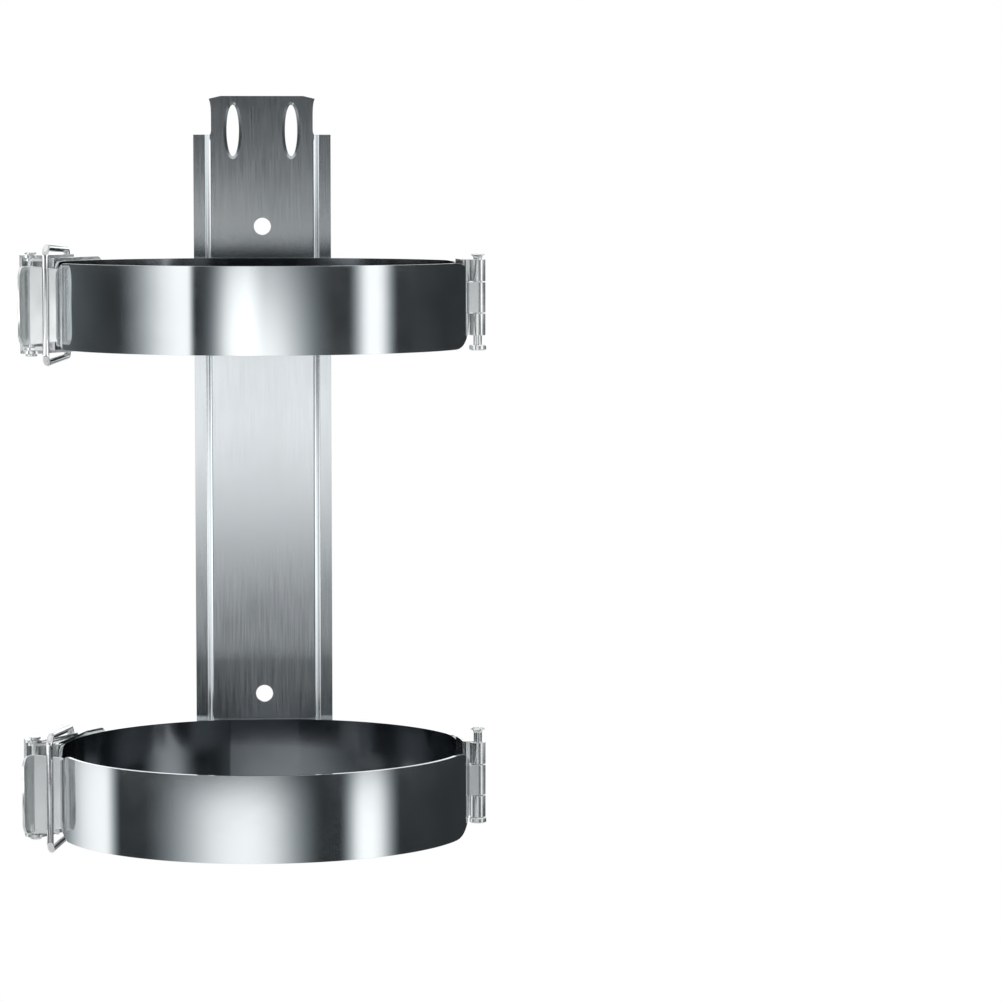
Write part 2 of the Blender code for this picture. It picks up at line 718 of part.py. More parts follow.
def build_clamp(tier, level):
    """Everything that belongs to one band, at its height on the plate."""
    centre = Vector((0, AXIS_Y, level))
    hinge_place = centre + Vector((0, 0, HINGE_LIFT))
    pin_place = hinge_place + Vector((PIN_X, 0, 0))
    pivot_place = centre + Vector((*PIVOT, 0))
    lift = PIN_FLOAT if tier == "lower" else 0
    build_band(tier + "_rear_band", rear_angles(), (HINGE_CUT, LATCH_CUT), centre)
    build_leaf(tier + "_hinge_rear_leaf", 1, hinge_place)
    build_hinge_pin(tier + "_hinge_pin", pin_place + Vector((0, 0, lift)))
    build_base(tier + "_latch_base", centre)
    build_lever_pin(tier + "_lever_pin", pivot_place)
    swinging = [
        build_band(tier + "_front_band", front_angles(), (LATCH_CUT, HINGE_CUT), centre),
        build_leaf(tier + "_hinge_front_leaf", -1, hinge_place),
        build_keeper(tier + "_keeper", centre),
    ]
    add_pivot(tier + "_hinge_axis", pin_place, swinging)
    add_pivot(tier + "_lever_axis", pivot_place, [build_lever(tier + "_latch_lever", centre)])
    eye_place = centre + Vector((*EYE, 0))
    add_pivot(tier + "_eye_axis", eye_place, [build_bail(tier + "_wire_bail", centre)])


clear_scene()
PARTS = make_collection("fire_extinguisher_bracket")
CUTTERS = make_collection("cutters")
MATERIALS = {name: make_finish(name) for name in FINISHES}
build_back_plate()
for tier_name, tier_z in BAND_Z.items():
    build_clamp(tier_name, tier_z)
bpy.context.view_layer.update()
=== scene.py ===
"""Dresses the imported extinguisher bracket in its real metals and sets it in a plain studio.

Every piece is rebuilt, finer and with rounded edges, in the place of its CAD node. Lengths are in
metres. A plan point is (X, Y) measured from the middle of its band, Y negative to the front.
"""
import json
import math

import bmesh
import bpy
from bpy.props import FloatProperty, FloatVectorProperty, PointerProperty
from mathutils import Matrix, Vector


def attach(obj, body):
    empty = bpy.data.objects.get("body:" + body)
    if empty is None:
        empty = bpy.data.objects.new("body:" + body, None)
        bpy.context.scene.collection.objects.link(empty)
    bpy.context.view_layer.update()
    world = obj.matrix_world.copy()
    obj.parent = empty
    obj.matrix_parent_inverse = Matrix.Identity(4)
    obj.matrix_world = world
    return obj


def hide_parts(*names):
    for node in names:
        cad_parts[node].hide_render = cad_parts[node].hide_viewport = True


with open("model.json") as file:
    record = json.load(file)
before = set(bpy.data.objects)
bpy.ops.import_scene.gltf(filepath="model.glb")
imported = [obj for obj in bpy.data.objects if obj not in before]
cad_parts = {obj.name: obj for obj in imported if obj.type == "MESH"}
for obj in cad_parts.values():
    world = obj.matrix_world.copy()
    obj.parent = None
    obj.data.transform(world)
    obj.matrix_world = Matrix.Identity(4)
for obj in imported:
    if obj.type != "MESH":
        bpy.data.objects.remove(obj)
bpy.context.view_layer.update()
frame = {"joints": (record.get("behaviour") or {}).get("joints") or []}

bl_info = {
    "name": "Extinguisher Bracket Finish",
    "version": (1, 0, 0),
    "blender": (4, 5, 0),
    "location": "View3D > Sidebar > Bracket",
    "description": "Dresses a two-band extinguisher bracket in its real metals",
    "category": "Object",
}

# Clearances, as in the solids
SEAT_GAP = 0.0003
BORE_GAP = 0.0003
KNUCKLE_GAP = 0.0004
KNUCKLE_PLAY = 0.0004

# Back plate
PLATE_T = 0.0015
WEB_WIDTH = 0.049
WEB_STANDOFF = 0.004
JOGGLE_RUN = 0.0014
FLANGE_WIDTH = 0.0063
HOLE_PITCH = 0.2208
HOLE_R = 0.004
PLATE_FOOT_DROP = 0.0712
FLANGE_RISE = 0.0429
TONGUE_HEIGHT = 0.018
TONGUE_INSET = 0.0007
TONGUE_FILLET = 0.0024
HORN_REACH = 0.001
HORN_DROP = 0.0013
HORN_LENGTH = 0.0055
HORN_POWER = 6
SLOT_WIDTH = 0.0058
SLOT_LENGTH = 0.024
SLOT_PITCH = 0.0273
SLOT_TOP_DROP = 0.0161
PANEL_MARGIN = 0.0018
PANEL_TOP_DROP = 0.0055
PANEL_LENGTH = 0.024
PANEL_DEPTH = 0.0003
RIM_WIDTH = 0.0014
RIM_DEPTH = 0.00028
FOLD_R = 0.0014

# Clamp bands
BAND_BORE_R = 0.091
BAND_T = 0.0015
BAND_WIDTH = 0.038
SEAT_FLAT_WIDTH = 0.032
REAR_END_DROP = 0.0095
END_GAP = 0.004
LATCH_CUT_LENGTH = 0.0165
LATCH_CUT_HEIGHT = 0.0048
HINGE_CUT_LENGTH = 0.033

# Butt hinge and its pin
LEAF_T = 0.0012
HINGE_HEIGHT = 0.034
HINGE_LIFT = 0.003
LEAF_LENGTH = 0.02
LEAF_BEND_R = 0.0012
BAND_TO_LEAF = 0.0007
KNUCKLE_R = 0.0035
MIDDLE_KNUCKLE = 0.0136
ROLL_ANGLE = math.radians(285)
PIN_FLOAT = 0.004
PIN_FLANGE_R = 0.0038
PIN_FLANGE_T = 0.0024
PIN_FLANGE_CHAMFER = 0.0004
FLARE_R = 0.0034
FLARE_HEIGHT = 0.0016
FLARE_WALL = 0.0005
PIN_BORE_R = 0.0011
PIN_BORE_DEPTH = 0.004
PETALS = 5
PETAL_SLIT = 0.0007

# Latch
BASE_T = 0.0012
EAR_T = 0.0012
BASE_LENGTH = 0.058
EAR_ROOT_START = 0.003
EAR_ROOT_END = 0.046
EAR_LOBE_R = 0.0032
BASE_CORNER_LENGTH = 0.004
BASE_CORNER_HEIGHT = 0.003
BASE_WELD_SHARES = (0.4, 0.85)
LEVER_T = 0.0012
WEB_CLEARANCE = 0.0009
WEB_SETBACK = 0.0022
LEVER_LENGTH = 0.048
EYE_LOBE_R = 0.0032
TAB_LENGTH = 0.013
TAB_CURL = math.radians(30)
TAB_HEIGHT = 0.028
TAB_CORNER_LENGTH = 0.005
TAB_CORNER_HEIGHT = 0.0045
LEVER_PIN_R = 0.0016
LEVER_HEAD_R = 0.0026
LEVER_HEAD_T = 0.001
LEVER_HEAD_CHAMFER = 0.00025
WIRE_R = 0.0015
BAR_REACH = 0.0035
ARM_GAP = 0.0007
ARM_SPREAD = 0.0015
BAR_BEND_R = 0.0038
EYE_BEND_R = 0.0021
KEEPER_T = 0.0012
KEEPER_HEIGHT = 0.035
KEEPER_LEG = 0.022
KEEPER_BACK_GAP = 0.001
CROOK_WIDTH = 0.008
LIP_LENGTH = 0.0086
LIP_LEAN = math.radians(24)
KEEPER_BEND_R = 0.0018
KEEPER_CORNER_LENGTH = 0.0045
KEEPER_CORNER_HEIGHT = 0.004

# A weld's dish: its radius over its depth
WELD_FLATNESS = 16

# How an edge falls towards a cut end: the power of what is left of the cut's length
STRAIGHT = 1
SWEPT = 2
ROUND = 3

# Facets of the shown pieces
ARC_STEP = math.radians(1.2)
FINE_STEP = math.radians(7.5)
ROUND_SEGMENTS = 64
DISH_SEGMENTS = 96
WIRE_RESOLUTION = 8
CUT_STEPS = 16
QUARTER_STEPS = 8
HORN_STEPS = 15
HORN_FIRST_STEP = 4
TAB_STEPS = 24
TAB_SHOULDER_STEPS = 5
LIP_STEPS = 24
CREASE_ANGLE = math.radians(31)
FLAT_NORMAL = 0.9999
MERGE_DISTANCE = 1e-7
TURNED_MERGE_DISTANCE = 1e-6

# Places and sizes that follow from the frame and the sizes above
TIERS = ("upper", "lower")
JOINTS = {joint["name"]: joint for joint in frame["joints"]}
HINGE = {tier: Vector(JOINTS[tier + "_front_swing"]["pos_m"]) for tier in TIERS}
LEVER = {tier: Vector(JOINTS[tier + "_lever_swing"]["pos_m"]) for tier in TIERS}
CENTRE = {tier: Vector((0, HINGE[tier].y, LEVER[tier].z)) for tier in TIERS}
PIVOT = tuple((LEVER["upper"] - CENTRE["upper"]).xy)
EYE = tuple((Vector(JOINTS["upper_bail_swing"]["pos_m"]) - CENTRE["upper"]).xy)
FLANGE_TOP_Z = HOLE_PITCH + FLANGE_RISE
PLATE_TOP_Z = FLANGE_TOP_Z + TONGUE_HEIGHT
WEB_BACK_Y = -WEB_STANDOFF
WEB_FRONT_Y = WEB_BACK_Y - PLATE_T
RIM_OVERLAP = 0.1 * RIM_DEPTH
BAND_R = BAND_BORE_R + BAND_T / 2
BAND_OUTER_R = BAND_BORE_R + BAND_T
FRONT_END_DROP = REAR_END_DROP + END_GAP
LATCH_CUT = (LATCH_CUT_LENGTH, LATCH_CUT_HEIGHT, LATCH_CUT_HEIGHT, STRAIGHT)
TAB_TOP = HINGE_LIFT + MIDDLE_KNUCKLE / 2
TAB_FOOT = HINGE_LIFT - MIDDLE_KNUCKLE / 2
HINGE_CUT = (HINGE_CUT_LENGTH, BAND_WIDTH / 2 - TAB_TOP, BAND_WIDTH / 2 + TAB_FOOT, SWEPT)
HINGE_END_DROP = KNUCKLE_R + BAND_TO_LEAF
LEAF_R = BAND_BORE_R - SEAT_GAP - LEAF_T / 2
ROLL_R = KNUCKLE_R - LEAF_T / 2
PIN_X = HINGE["upper"].x
PIN_R = KNUCKLE_R - LEAF_T - KNUCKLE_PLAY
BASE_R = BAND_OUTER_R + SEAT_GAP + BASE_T / 2
BASE_SIDE_Z = BAND_WIDTH / 2 + SEAT_GAP + EAR_T
LEVER_EAR_Z = BASE_SIDE_Z + SEAT_GAP
LEVER_SIDE_Z = LEVER_EAR_Z + LEVER_T
PIVOT_TO_WEB = EAR_LOBE_R + WEB_CLEARANCE + LEVER_T / 2
WEB_R = math.hypot(*PIVOT) + PIVOT_TO_WEB
KEEPER_R = BAND_BORE_R - SEAT_GAP - KEEPER_T / 2
KEEPER_Y = -(REAR_END_DROP + KEEPER_BACK_GAP + KEEPER_T / 2)
BAR = (-(BAND_OUTER_R + BAR_REACH), KEEPER_Y - KEEPER_T / 2 - SEAT_GAP - WIRE_R)

# Materials: where most of a noise lies, and what the darkest part of a metal keeps of its colour
NOISE_LOW = 0.3
NOISE_HIGH = 0.7
SHADE = 0.8

# Camera, from the photograph's perspective
LENS_MM = 144.0
SENSOR_MM = 36.0
EYE_DISTANCE = 1.798
EYE_HEIGHT = 0.2425
CAMERA_PAN = math.radians(3.4)
CAMERA_TILT = math.radians(4.58)
CAMERA_REACH = 20.0

# Studio. The tent is dark from the front to TENT_DARK_END and grey from TENT_GREY_START on, on the
# left side; angles are in degrees from the front, to the right.
TENT_R = 2.2
TENT_HALF_HEIGHT = 2.0
TENT_SEGMENTS = 180
TENT_DARK = 0.052
TENT_GREY = 0.2
TENT_DARK_END = -90.0
TENT_GREY_START = -155.0
# Each window's span across, its span in height and its level. A span is where the light starts, is
# full, is still full and ends.
WINDOWS = (
    ((-36, -6, -2, 40), (-0.25, -0.01, 0.04, 0.27), 1.4),
    ((-30, -14, -10, 2), (0.04, 0.09, 0.15, 0.2), 0.55),
    ((-86, -42, -41, -36), (-0.28, -0.16, 0.26, 0.36), 1.22),
    ((46, 61, 63, 79), (-0.26, -0.14, 0.26, 0.36), 1.3),
    ((-72, -10, -8, 33), (-0.5, -0.44, -0.36, -0.31), 1.22),
    ((40, 56, 59, 80), (-0.5, -0.44, -0.36, -0.29), 1.35),
    ((-158, -100, -99, -85), (-0.5, -0.44, -0.34, -0.24), 1.2),
    ((28, 37, 200, 230), (0.19, 0.25, 0.5, 0.7), 1.3),
    ((-230, -200, -37, -28), (0.19, 0.25, 0.5, 0.7), 1.3),
    ((28, 37, 140, 165), (-0.3, -0.24, -0.02, 0.04), 1.3),
    ((-165, -140, -37, -28), (-0.3, -0.24, -0.02, 0.04), 1.3),
    # Seen only from the sides, from behind or from above
    ((-400, -390, 390, 400), (-1.0, -0.9, -0.66, -0.52), 0.8),
    ((-400, -390, 390, 400), (0.62, 0.8, 1.7, 2.1), 0.75),
    ((158, 170, 230, 240), (-0.7, -0.55, -0.05, 0.12), 0.9),
    ((-240, -230, -170, -158), (-0.7, -0.55, -0.05, 0.12), 0.9),
)
FLOOR_Z = -0.9
FLOOR_SIZE = 6.0
# Level of the white surroundings as matt surfaces see it
SOFT_LEVEL = 0.7


def linear(text):
    """Turn an sRGB hex value into a linear colour."""
    values = [int(text[i:i + 2], 16) / 255 for i in (1, 3, 5)]
    return tuple(v / 12.92 if v <= 0.04045 else ((v + 0.055) / 1.055) ** 2.4 for v in values)


class BracketSizes(bpy.types.PropertyGroup):
    """Sizes that a user of the bracket would change."""

    edge_round: FloatProperty(
        name="Edge rounding", description="Radius left on cut sheet edges by deburring",
        default=0.00032, min=0.0001, max=0.0005, unit="LENGTH")
    weld_mark: FloatProperty(
        name="Weld mark", description="Radius of the shallow dish that a spot weld leaves",
        default=0.0024, min=0.001, max=0.004, unit="LENGTH")
    grain_width: FloatProperty(
        name="Grain width", description="Spacing of the satin grain on the back plate",
        default=0.0004, min=0.0001, max=0.002, unit="LENGTH")


class BracketColors(bpy.types.PropertyGroup):
    """Colours that a user of the bracket would change."""

    satin: FloatVectorProperty(
        name="Satin plate", description="Colour of the satin back plate",
        subtype="COLOR", size=3, min=0, max=1, default=linear("#d3d7d9"))
    polished: FloatVectorProperty(
        name="Polished bands", description="Colour of the mirror-polished bands",
        subtype="COLOR", size=3, min=0, max=1, default=linear("#dee2e3"))
    stamped: FloatVectorProperty(
        name="Stamped fittings", description="Colour of the hinge and latch stampings",
        subtype="COLOR", size=3, min=0, max=1, default=linear("#eceeee"))
    # Inner sides: partly the dull mill skin, partly painted shade, darker than the steel itself
    # for the shade inside the ring
    rolled_skin_and_shade: FloatVectorProperty(
        name="Inner sides", description="Colour of the dull inner sides of the bands",
        subtype="COLOR", size=3, min=0, max=1, default=linear("#7e8387"))
    wire: FloatVectorProperty(
        name="Wire", description="Colour of the drawn wire",
        subtype="COLOR", size=3, min=0, max=1, default=linear("#f0f0f0"))


# Nodes and materials

def add_node(tree, kind, inputs=None, **settings):
    """Add a node with its settings, its values and its links."""
    node = tree.nodes.new(kind)
    for name, value in settings.items():
        setattr(node, name, value)
    for key, value in (inputs or {}).items():
        if isinstance(value, bpy.types.NodeSocket):
            tree.links.new(value, node.inputs[key])
        else:
            node.inputs[key].default_value = value
    return node


def start_metal(name, color):
    """A new metal: its tree, its shader and object coordinates in metres."""
    material = bpy.data.materials.new(name)
    material.use_nodes = True
    tree = material.node_tree
    tree.nodes.clear()
    shader = add_node(tree, "ShaderNodeBsdfPrincipled", {
        "Metallic": 1.0, "Base Color": (*color, 1),
    })
    add_node(tree, "ShaderNodeOutputMaterial", {"Surface": shader.outputs["BSDF"]})
    place = add_node(tree, "ShaderNodeTexCoord").outputs["Object"]
    return material, tree, shader, place


def spread(tree, place, size, stretch=(1, 1, 1), detail=3.0):
    """Noise whose features are about a given size in metres, drawn out along an axis."""
    scaled = add_node(tree, "ShaderNodeMapping", {
        "Vector": place, "Scale": stretch,
    }, vector_type="POINT")
    return add_node(tree, "ShaderNodeTexNoise", {
        "Vector": scaled.outputs["Vector"], "Scale": 1 / size, "Detail": detail,
    }).outputs["Fac"]


def remap(tree, value, low, high):
    """Spread noise between two values."""
    return add_node(tree, "ShaderNodeMapRange", {
        "Value": value, "From Min": NOISE_LOW, "From Max": NOISE_HIGH,
        "To Min": low, "To Max": high,
    }).outputs["Result"]


def tinted(tree, color, value, darkest):
    """A colour that noise darkens a little."""
    shade = remap(tree, value, darkest, 1.0)
    return add_node(tree, "ShaderNodeMix", {
        "Factor": shade, 6: (*[c * SHADE for c in color], 1), 7: (*color, 1),
    }, data_type="RGBA").outputs[2]


def raised(tree, value, distance, strength):
    """A bump from noise, its height in metres."""
    return add_node(tree, "ShaderNodeBump", {
        "Height": value, "Distance": distance, "Strength": strength,
    }).outputs["Normal"]


def satin_stainless():
    """Satin-ground 304 sheet: upright grain, which softens what it reflects."""
    colors = bpy.context.scene.bracket_colors
    grain_size = bpy.context.scene.bracket_sizes.grain_width
    material, tree, shader, place = start_metal("satin_ground_stainless", colors.satin)
    # Belt grain is near 0.05 mm wide; 0.4 mm shows at this size
    grain = spread(tree, place, grain_size, (1, 1, 0.02))
    cloud = spread(tree, place, 0.03, detail=2.0)
    rough = add_node(tree, "ShaderNodeMath", {
        0: remap(tree, grain, 0.125, 0.165), 1: remap(tree, cloud, -0.01, 0.01),
    }, operation="ADD").outputs["Value"]
    tree.links.new(rough, shader.inputs["Roughness"])
    tree.links.new(tinted(tree, colors.satin, grain, 0.8), shader.inputs["Base Color"])
    tree.links.new(raised(tree, grain, 0.000003, 0.3), shader.inputs["Normal"])
    return material


def polished_stainless():
    """Buffed 304 strip: a clean mirror with faint buffing haze and hairlines along the strip."""
    colors = bpy.context.scene.bracket_colors
    material, tree, shader, place = start_metal("buffed_mirror_stainless", colors.polished)
    haze = spread(tree, place, 0.02)
    # Hairlines are finer than a tenth of a millimetre; 0.25 mm shows
    hairline = spread(tree, place, 0.00025, (0.03, 0.03, 1), detail=1.0)
    rough = add_node(tree, "ShaderNodeMath", {
        0: remap(tree, haze, 0.055, 0.085), 1: remap(tree, hairline, -0.004, 0.008),
    }, operation="ADD").outputs["Value"]
    tree.links.new(rough, shader.inputs["Roughness"])
    tree.links.new(tinted(tree, colors.polished, haze, 0.85), shader.inputs["Base Color"])
    tree.links.new(raised(tree, hairline, 0.000001, 0.25), shader.inputs["Normal"])
    return material


def mill_skin_and_shade():
    """Inner side of the strip, left with its dull mill skin from rolling and a soft sheen; its
    darker colour is painted shade, standing in for the dark that the inside of the ring mirrors.
    """
    colors = bpy.context.scene.bracket_colors
    material, tree, shader, place = start_metal("rolled_skin_and_painted_shade_stainless", colors.rolled_skin_and_shade)
    # Roll marks run along the strip, a few tenths of a millimetre wide
    marks = spread(tree, place, 0.0006, (0.05, 0.05, 1), detail=2.0)
    haze = spread(tree, place, 0.018)
    tree.links.new(remap(tree, haze, 0.1, 0.15), shader.inputs["Roughness"])
    # Painted shade: the dark base colour stands in for the shade inside the ring, and the haze
    # varies it at random
    tree.links.new(tinted(tree, colors.rolled_skin_and_shade, haze, 0.3), shader.inputs["Base Color"])
    tree.links.new(raised(tree, marks, 0.000004, 0.4), shader.inputs["Normal"])
    return material


def stamped_stainless():
    """Tumbled stainless stampings: bright, with the fine peened skin that tumbling leaves."""
    colors = bpy.context.scene.bracket_colors
    material, tree, shader, place = start_metal("tumbled_stainless", colors.stamped)
    # Tumbling dents are near 0.2 mm across; 0.5 mm shows
    skin = spread(tree, place, 0.0005)
    stain = spread(tree, place, 0.007, (1, 1, 0.5), detail=4.0)
    tree.links.new(remap(tree, stain, 0.14, 0.23), shader.inputs["Roughness"])
    tree.links.new(tinted(tree, colors.stamped, stain, 0.6), shader.inputs["Base Color"])
    tree.links.new(raised(tree, skin, 0.000012, 0.3), shader.inputs["Normal"])
    return material


def drawn_wire():
    """Bright drawn stainless wire: die lines along it and a soft sheen."""
    colors = bpy.context.scene.bracket_colors
    material, tree, shader, place = start_metal("drawn_stainless_wire", colors.wire)
    # Die lines are a few hundredths wide; 0.3 mm shows
    lines = spread(tree, place, 0.0003, (1, 1, 0.05), detail=2.0)
    tree.links.new(remap(tree, lines, 0.1, 0.18), shader.inputs["Roughness"])
    tree.links.new(tinted(tree, colors.wire, lines, 0.7), shader.inputs["Base Color"])
    tree.links.new(raised(tree, lines, 0.000006, 0.4), shader.inputs["Normal"])
    return material


FINISHES = {
    "satin_stainless": satin_stainless,
    "mill_skin_and_shade": mill_skin_and_shade,
    "polished_stainless": polished_stainless,
    "stamped_stainless": stamped_stainless,
    "bright_wire": drawn_wire,
}
MADE = {}


def finish_of(slot):
    """The material of a record slot, made once."""
    if slot not in MADE:
        MADE[slot] = FINISHES[slot]()
    return MADE[slot]


# Outlines

def polar(radius, angle):
    """A point on a circle about the origin."""
    return (radius * math.cos(angle), radius * math.sin(angle))


def arc(centre, radius, start, end, step):
    """Points along an arc, both ends included."""
    count = max(2, math.ceil(abs(end - start) / step))
    angles = [start + (end - start) * i / count for i in range(count + 1)]
    return [(centre[0] + radius * math.cos(a), centre[1] + radius * math.sin(a)) for a in angles]


def between(a, b, count):
    """Points on a straight run, a included and b left out."""
    return [(a[0] + (b[0] - a[0]) * i / count, a[1] + (b[1] - a[1]) * i / count)
            for i in range(count)]


def rounded(points, radius, step):
    """Round the inner corners of an open line of points."""
    result = [points[0]]
    for before, corner, after in zip(points, points[1:], points[2:]):
        a = (Vector(before) - Vector(corner)).normalized()
        b = (Vector(after) - Vector(corner)).normalized()
        half = a.angle(b) / 2
        centre = Vector(corner) + (a + b).normalized() * radius / math.sin(half)
        run = radius / math.tan(half)
        start = Vector(corner) + a * run - centre
        end = Vector(corner) + b * run - centre
        side = math.copysign(1, start.x * end.y - start.y * end.x)
        first = math.atan2(start.y, start.x)
        result += arc(centre, radius, first, first + side * (math.pi - 2 * half), step)
    return result + [points[-1]]


def turn_of(a, b, c):
    """Positive where a, b and c turn to the left."""
    return (b[0] - a[0]) * (c[1] - a[1]) - (b[1] - a[1]) * (c[0] - a[0])


def hull(points):
    """Convex outline around points."""
    cloud = sorted(set(points))
    outline = []
    for run in (cloud, cloud[::-1]):
        chain = []
        for p in run:
            while len(chain) > 1 and turn_of(chain[-2], chain[-1], p) <= 0:
                chain.pop()
            chain.append(p)
        outline += chain[:-1]
    return outline


def disc(centre, radius):
    """Points around a circle."""
    return arc(centre, radius, 0, 2 * math.pi, FINE_STEP)[:-1]


def distances(points):
    """Distance along a line of points at each of them."""
    run = [0.0]
    for a, b in zip(points, points[1:]):
        run.append(run[-1] + math.dist(a, b))
    return run


def end_cut(distance, length, height, power):
    """How far an edge is cut back at a distance from its end."""
    return height * max(0.0, 1 - distance / length) ** power


# Pieces

def add_piece(name, mesh, place=(0, 0, 0)):
    """Link a mesh as an object."""
    item = bpy.data.objects.new(name, mesh)
    bpy.context.scene.collection.objects.link(item)
    item.location = place
    return item


def from_bmesh(name, bm, place=(0, 0, 0)):
    """Turn a bmesh into an object."""
    mesh = bpy.data.meshes.new(name)
    bm.to_mesh(mesh)
    bm.free()
    return add_piece(name, mesh, place)


def sheet(name, path, heights, place, thickness, keep=None, two_faced=False):
    """Bend a sheet along a line seen from above; a two-faced one has slot 1 on its left side."""
    bm = bmesh.new()
    columns = [[bm.verts.new((x, y, z)) for z in heights(i)] for i, (x, y) in enumerate(path)]
    for i, (near, far) in enumerate(zip(columns, columns[1:])):
        for row in range(len(near) - 1):
            if keep is None or keep(i, row):
                bm.faces.new((near[row], far[row], far[row + 1], near[row + 1]))
    bmesh.ops.delete(bm, geom=[v for v in bm.verts if not v.link_faces], context="VERTS")
    item = from_bmesh(name, bm, place)
    solid = item.modifiers.new("Thickness", "SOLIDIFY")
    solid.thickness = thickness
    solid.offset = 0
    solid.use_even_offset = True
    solid.material_offset = 1 if two_faced else 0
    return item


def slab(name, outline, low, high, place, upright=False):
    """Raise an outline in plan along Z or, upright, an outline in X and Z along Y."""
    curve = bpy.data.curves.new(name, "CURVE")
    curve.dimensions = "2D"
    curve.fill_mode = "BOTH"
    curve.extrude = (high - low) / 2
    spline = curve.splines.new("POLY")
    spline.points.add(len(outline) - 1)
    for point, (x, y) in zip(spline.points, outline):
        point.co = (x, y, 0, 1)
    spline.use_cyclic_u = True
    middle = (high + low) / 2
    rise = Vector((0, middle, 0) if upright else (0, 0, middle))
    shape = add_piece(name, curve, Vector(place) + rise)
    if upright:
        shape.rotation_euler = (math.pi / 2, 0, 0)
    return as_mesh(shape)


def as_mesh(shape):
    """Make a welded mesh object of a curve object, with its place in its vertices."""
    bpy.context.view_layer.update()
    name = shape.name
    graph = bpy.context.evaluated_depsgraph_get()
    mesh = bpy.data.meshes.new_from_object(shape.evaluated_get(graph))
    mesh.transform(shape.matrix_world)
    bpy.data.objects.remove(shape, do_unlink=True)
    bm = bmesh.new()
    bm.from_mesh(mesh)
    bmesh.ops.remove_doubles(bm, verts=bm.verts, dist=MERGE_DISTANCE)
    bmesh.ops.recalc_face_normals(bm, faces=bm.faces)
    return from_bmesh(name, bm)


def cylinder(name, radius, height, place, upright=True):
    """A round helper, centred on its place, along Z or along Y."""
    bm = bmesh.new()
    bmesh.ops.create_cone(bm, cap_ends=True, segments=ROUND_SEGMENTS, radius1=radius,
                          radius2=radius, depth=height)
    item = from_bmesh(name, bm, place)
    if not upright:
        item.rotation_euler = (math.pi / 2, 0, 0)
    return item


def turned(name, profile, place):
    """Spin a closed profile of (radius, height) points about Z."""
    mesh = bpy.data.meshes.new(name)
    edges = [(i, i + 1) for i in range(len(profile) - 1)]
    mesh.from_pydata([(r, 0, z) for r, z in profile], edges, [])
    item = add_piece(name, mesh, place)
    screw = item.modifiers.new("Turn", "SCREW")
    screw.steps = ROUND_SEGMENTS
    screw.render_steps = ROUND_SEGMENTS
    screw.use_merge_vertices = True
    screw.merge_threshold = TURNED_MERGE_DISTANCE
    return item


def combine(item, other, operation):
    """Join or cut a piece with a helper and remove the helper."""
    step = item.modifiers.new(operation.title(), "BOOLEAN")
    step.operation = operation
    step.solver = "EXACT"
    step.object = other
    apply_all(item)
    bpy.data.objects.remove(other, do_unlink=True)


def apply_all(item):
    """Make a piece's modifiers final."""
    bpy.context.view_layer.update()
    graph = bpy.context.evaluated_depsgraph_get()
    mesh = bpy.data.meshes.new_from_object(item.evaluated_get(graph), depsgraph=graph)
    item.modifiers.clear()
    item.data = mesh


def round_edges(item, width, segments=3):
    """Round a piece's sharp edges and keep its large faces true."""
    step = item.modifiers.new("Edges", "BEVEL")
    step.width = width
    step.segments = segments
    step.limit_method = "ANGLE"
    step.angle_limit = CREASE_ANGLE
    step.miter_outer = "MITER_ARC"
    step.harden_normals = True


def weld_marks(item, spots, radius):
    """Press the shallow dish of a spot weld at each (place, outward direction)."""
    depth = radius / WELD_FLATNESS
    sphere_r = (radius ** 2 + depth ** 2) / (2 * depth)
    for place, outward in spots:
        bm = bmesh.new()
        bmesh.ops.create_uvsphere(bm, u_segments=DISH_SEGMENTS, v_segments=DISH_SEGMENTS,
                                  radius=sphere_r)
        way = Vector(outward).normalized()
        turn = way.to_track_quat("Z", "Y").to_matrix()
        bmesh.ops.rotate(bm, verts=bm.verts, cent=(0, 0, 0), matrix=turn)
        ball = from_bmesh("weld", bm, Vector(place) + way * (sphere_r - depth))
        combine(item, ball, "DIFFERENCE")


def dress(item, node, body, slot):
    """Finish a piece: its metal, its body, its record slot and the node it stands for."""
    for face in item.data.polygons:
        face.use_smooth = True
    item.data.materials.clear()
    item.data.materials.append(finish_of(slot))
    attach(item, body)
    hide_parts(node)


def edge_round():
    """Rounding of a cut sheet edge."""
    return bpy.context.scene.bracket_sizes.edge_round


# Back plate

def tongue_outline():
    """Top tongue in X and Z: hollowed sides, a small horn at each upper corner."""
    root = WEB_WIDTH / 2
    waist = root - TONGUE_INSET
    horn = waist + HORN_REACH
    horn_z = PLATE_TOP_Z - HORN_DROP
    side = [(root, FLANGE_TOP_Z - TONGUE_FILLET), (root, FLANGE_TOP_Z)]
    for i in range(1, QUARTER_STEPS + 1):
        turn = math.pi / 2 * i / QUARTER_STEPS
        x = root - TONGUE_INSET * math.sin(turn)
        side.append((x, FLANGE_TOP_Z + TONGUE_FILLET * (1 - math.cos(turn))))
    shoulder = side[-1][1]
    for i in range(HORN_FIRST_STEP, HORN_STEPS):
        share = i / HORN_STEPS
        x = waist + HORN_REACH * share ** HORN_POWER
        side.append((x, shoulder + (horn_z - shoulder) * share))
    side += [(horn, horn_z), (horn - HORN_LENGTH, PLATE_TOP_Z)]
    return side + [(-x, z) for x, z in reversed(side)]


def slot_outline(x, z, wider=0.0):
    """Outline of one slot, an upright ellipse, or of a wider one round it."""
    half = SLOT_WIDTH / 2 + wider
    reach = SLOT_LENGTH / 2 + wider
    return [(x + half * c, z + reach * s) for c, s in disc((0, 0), 1)]


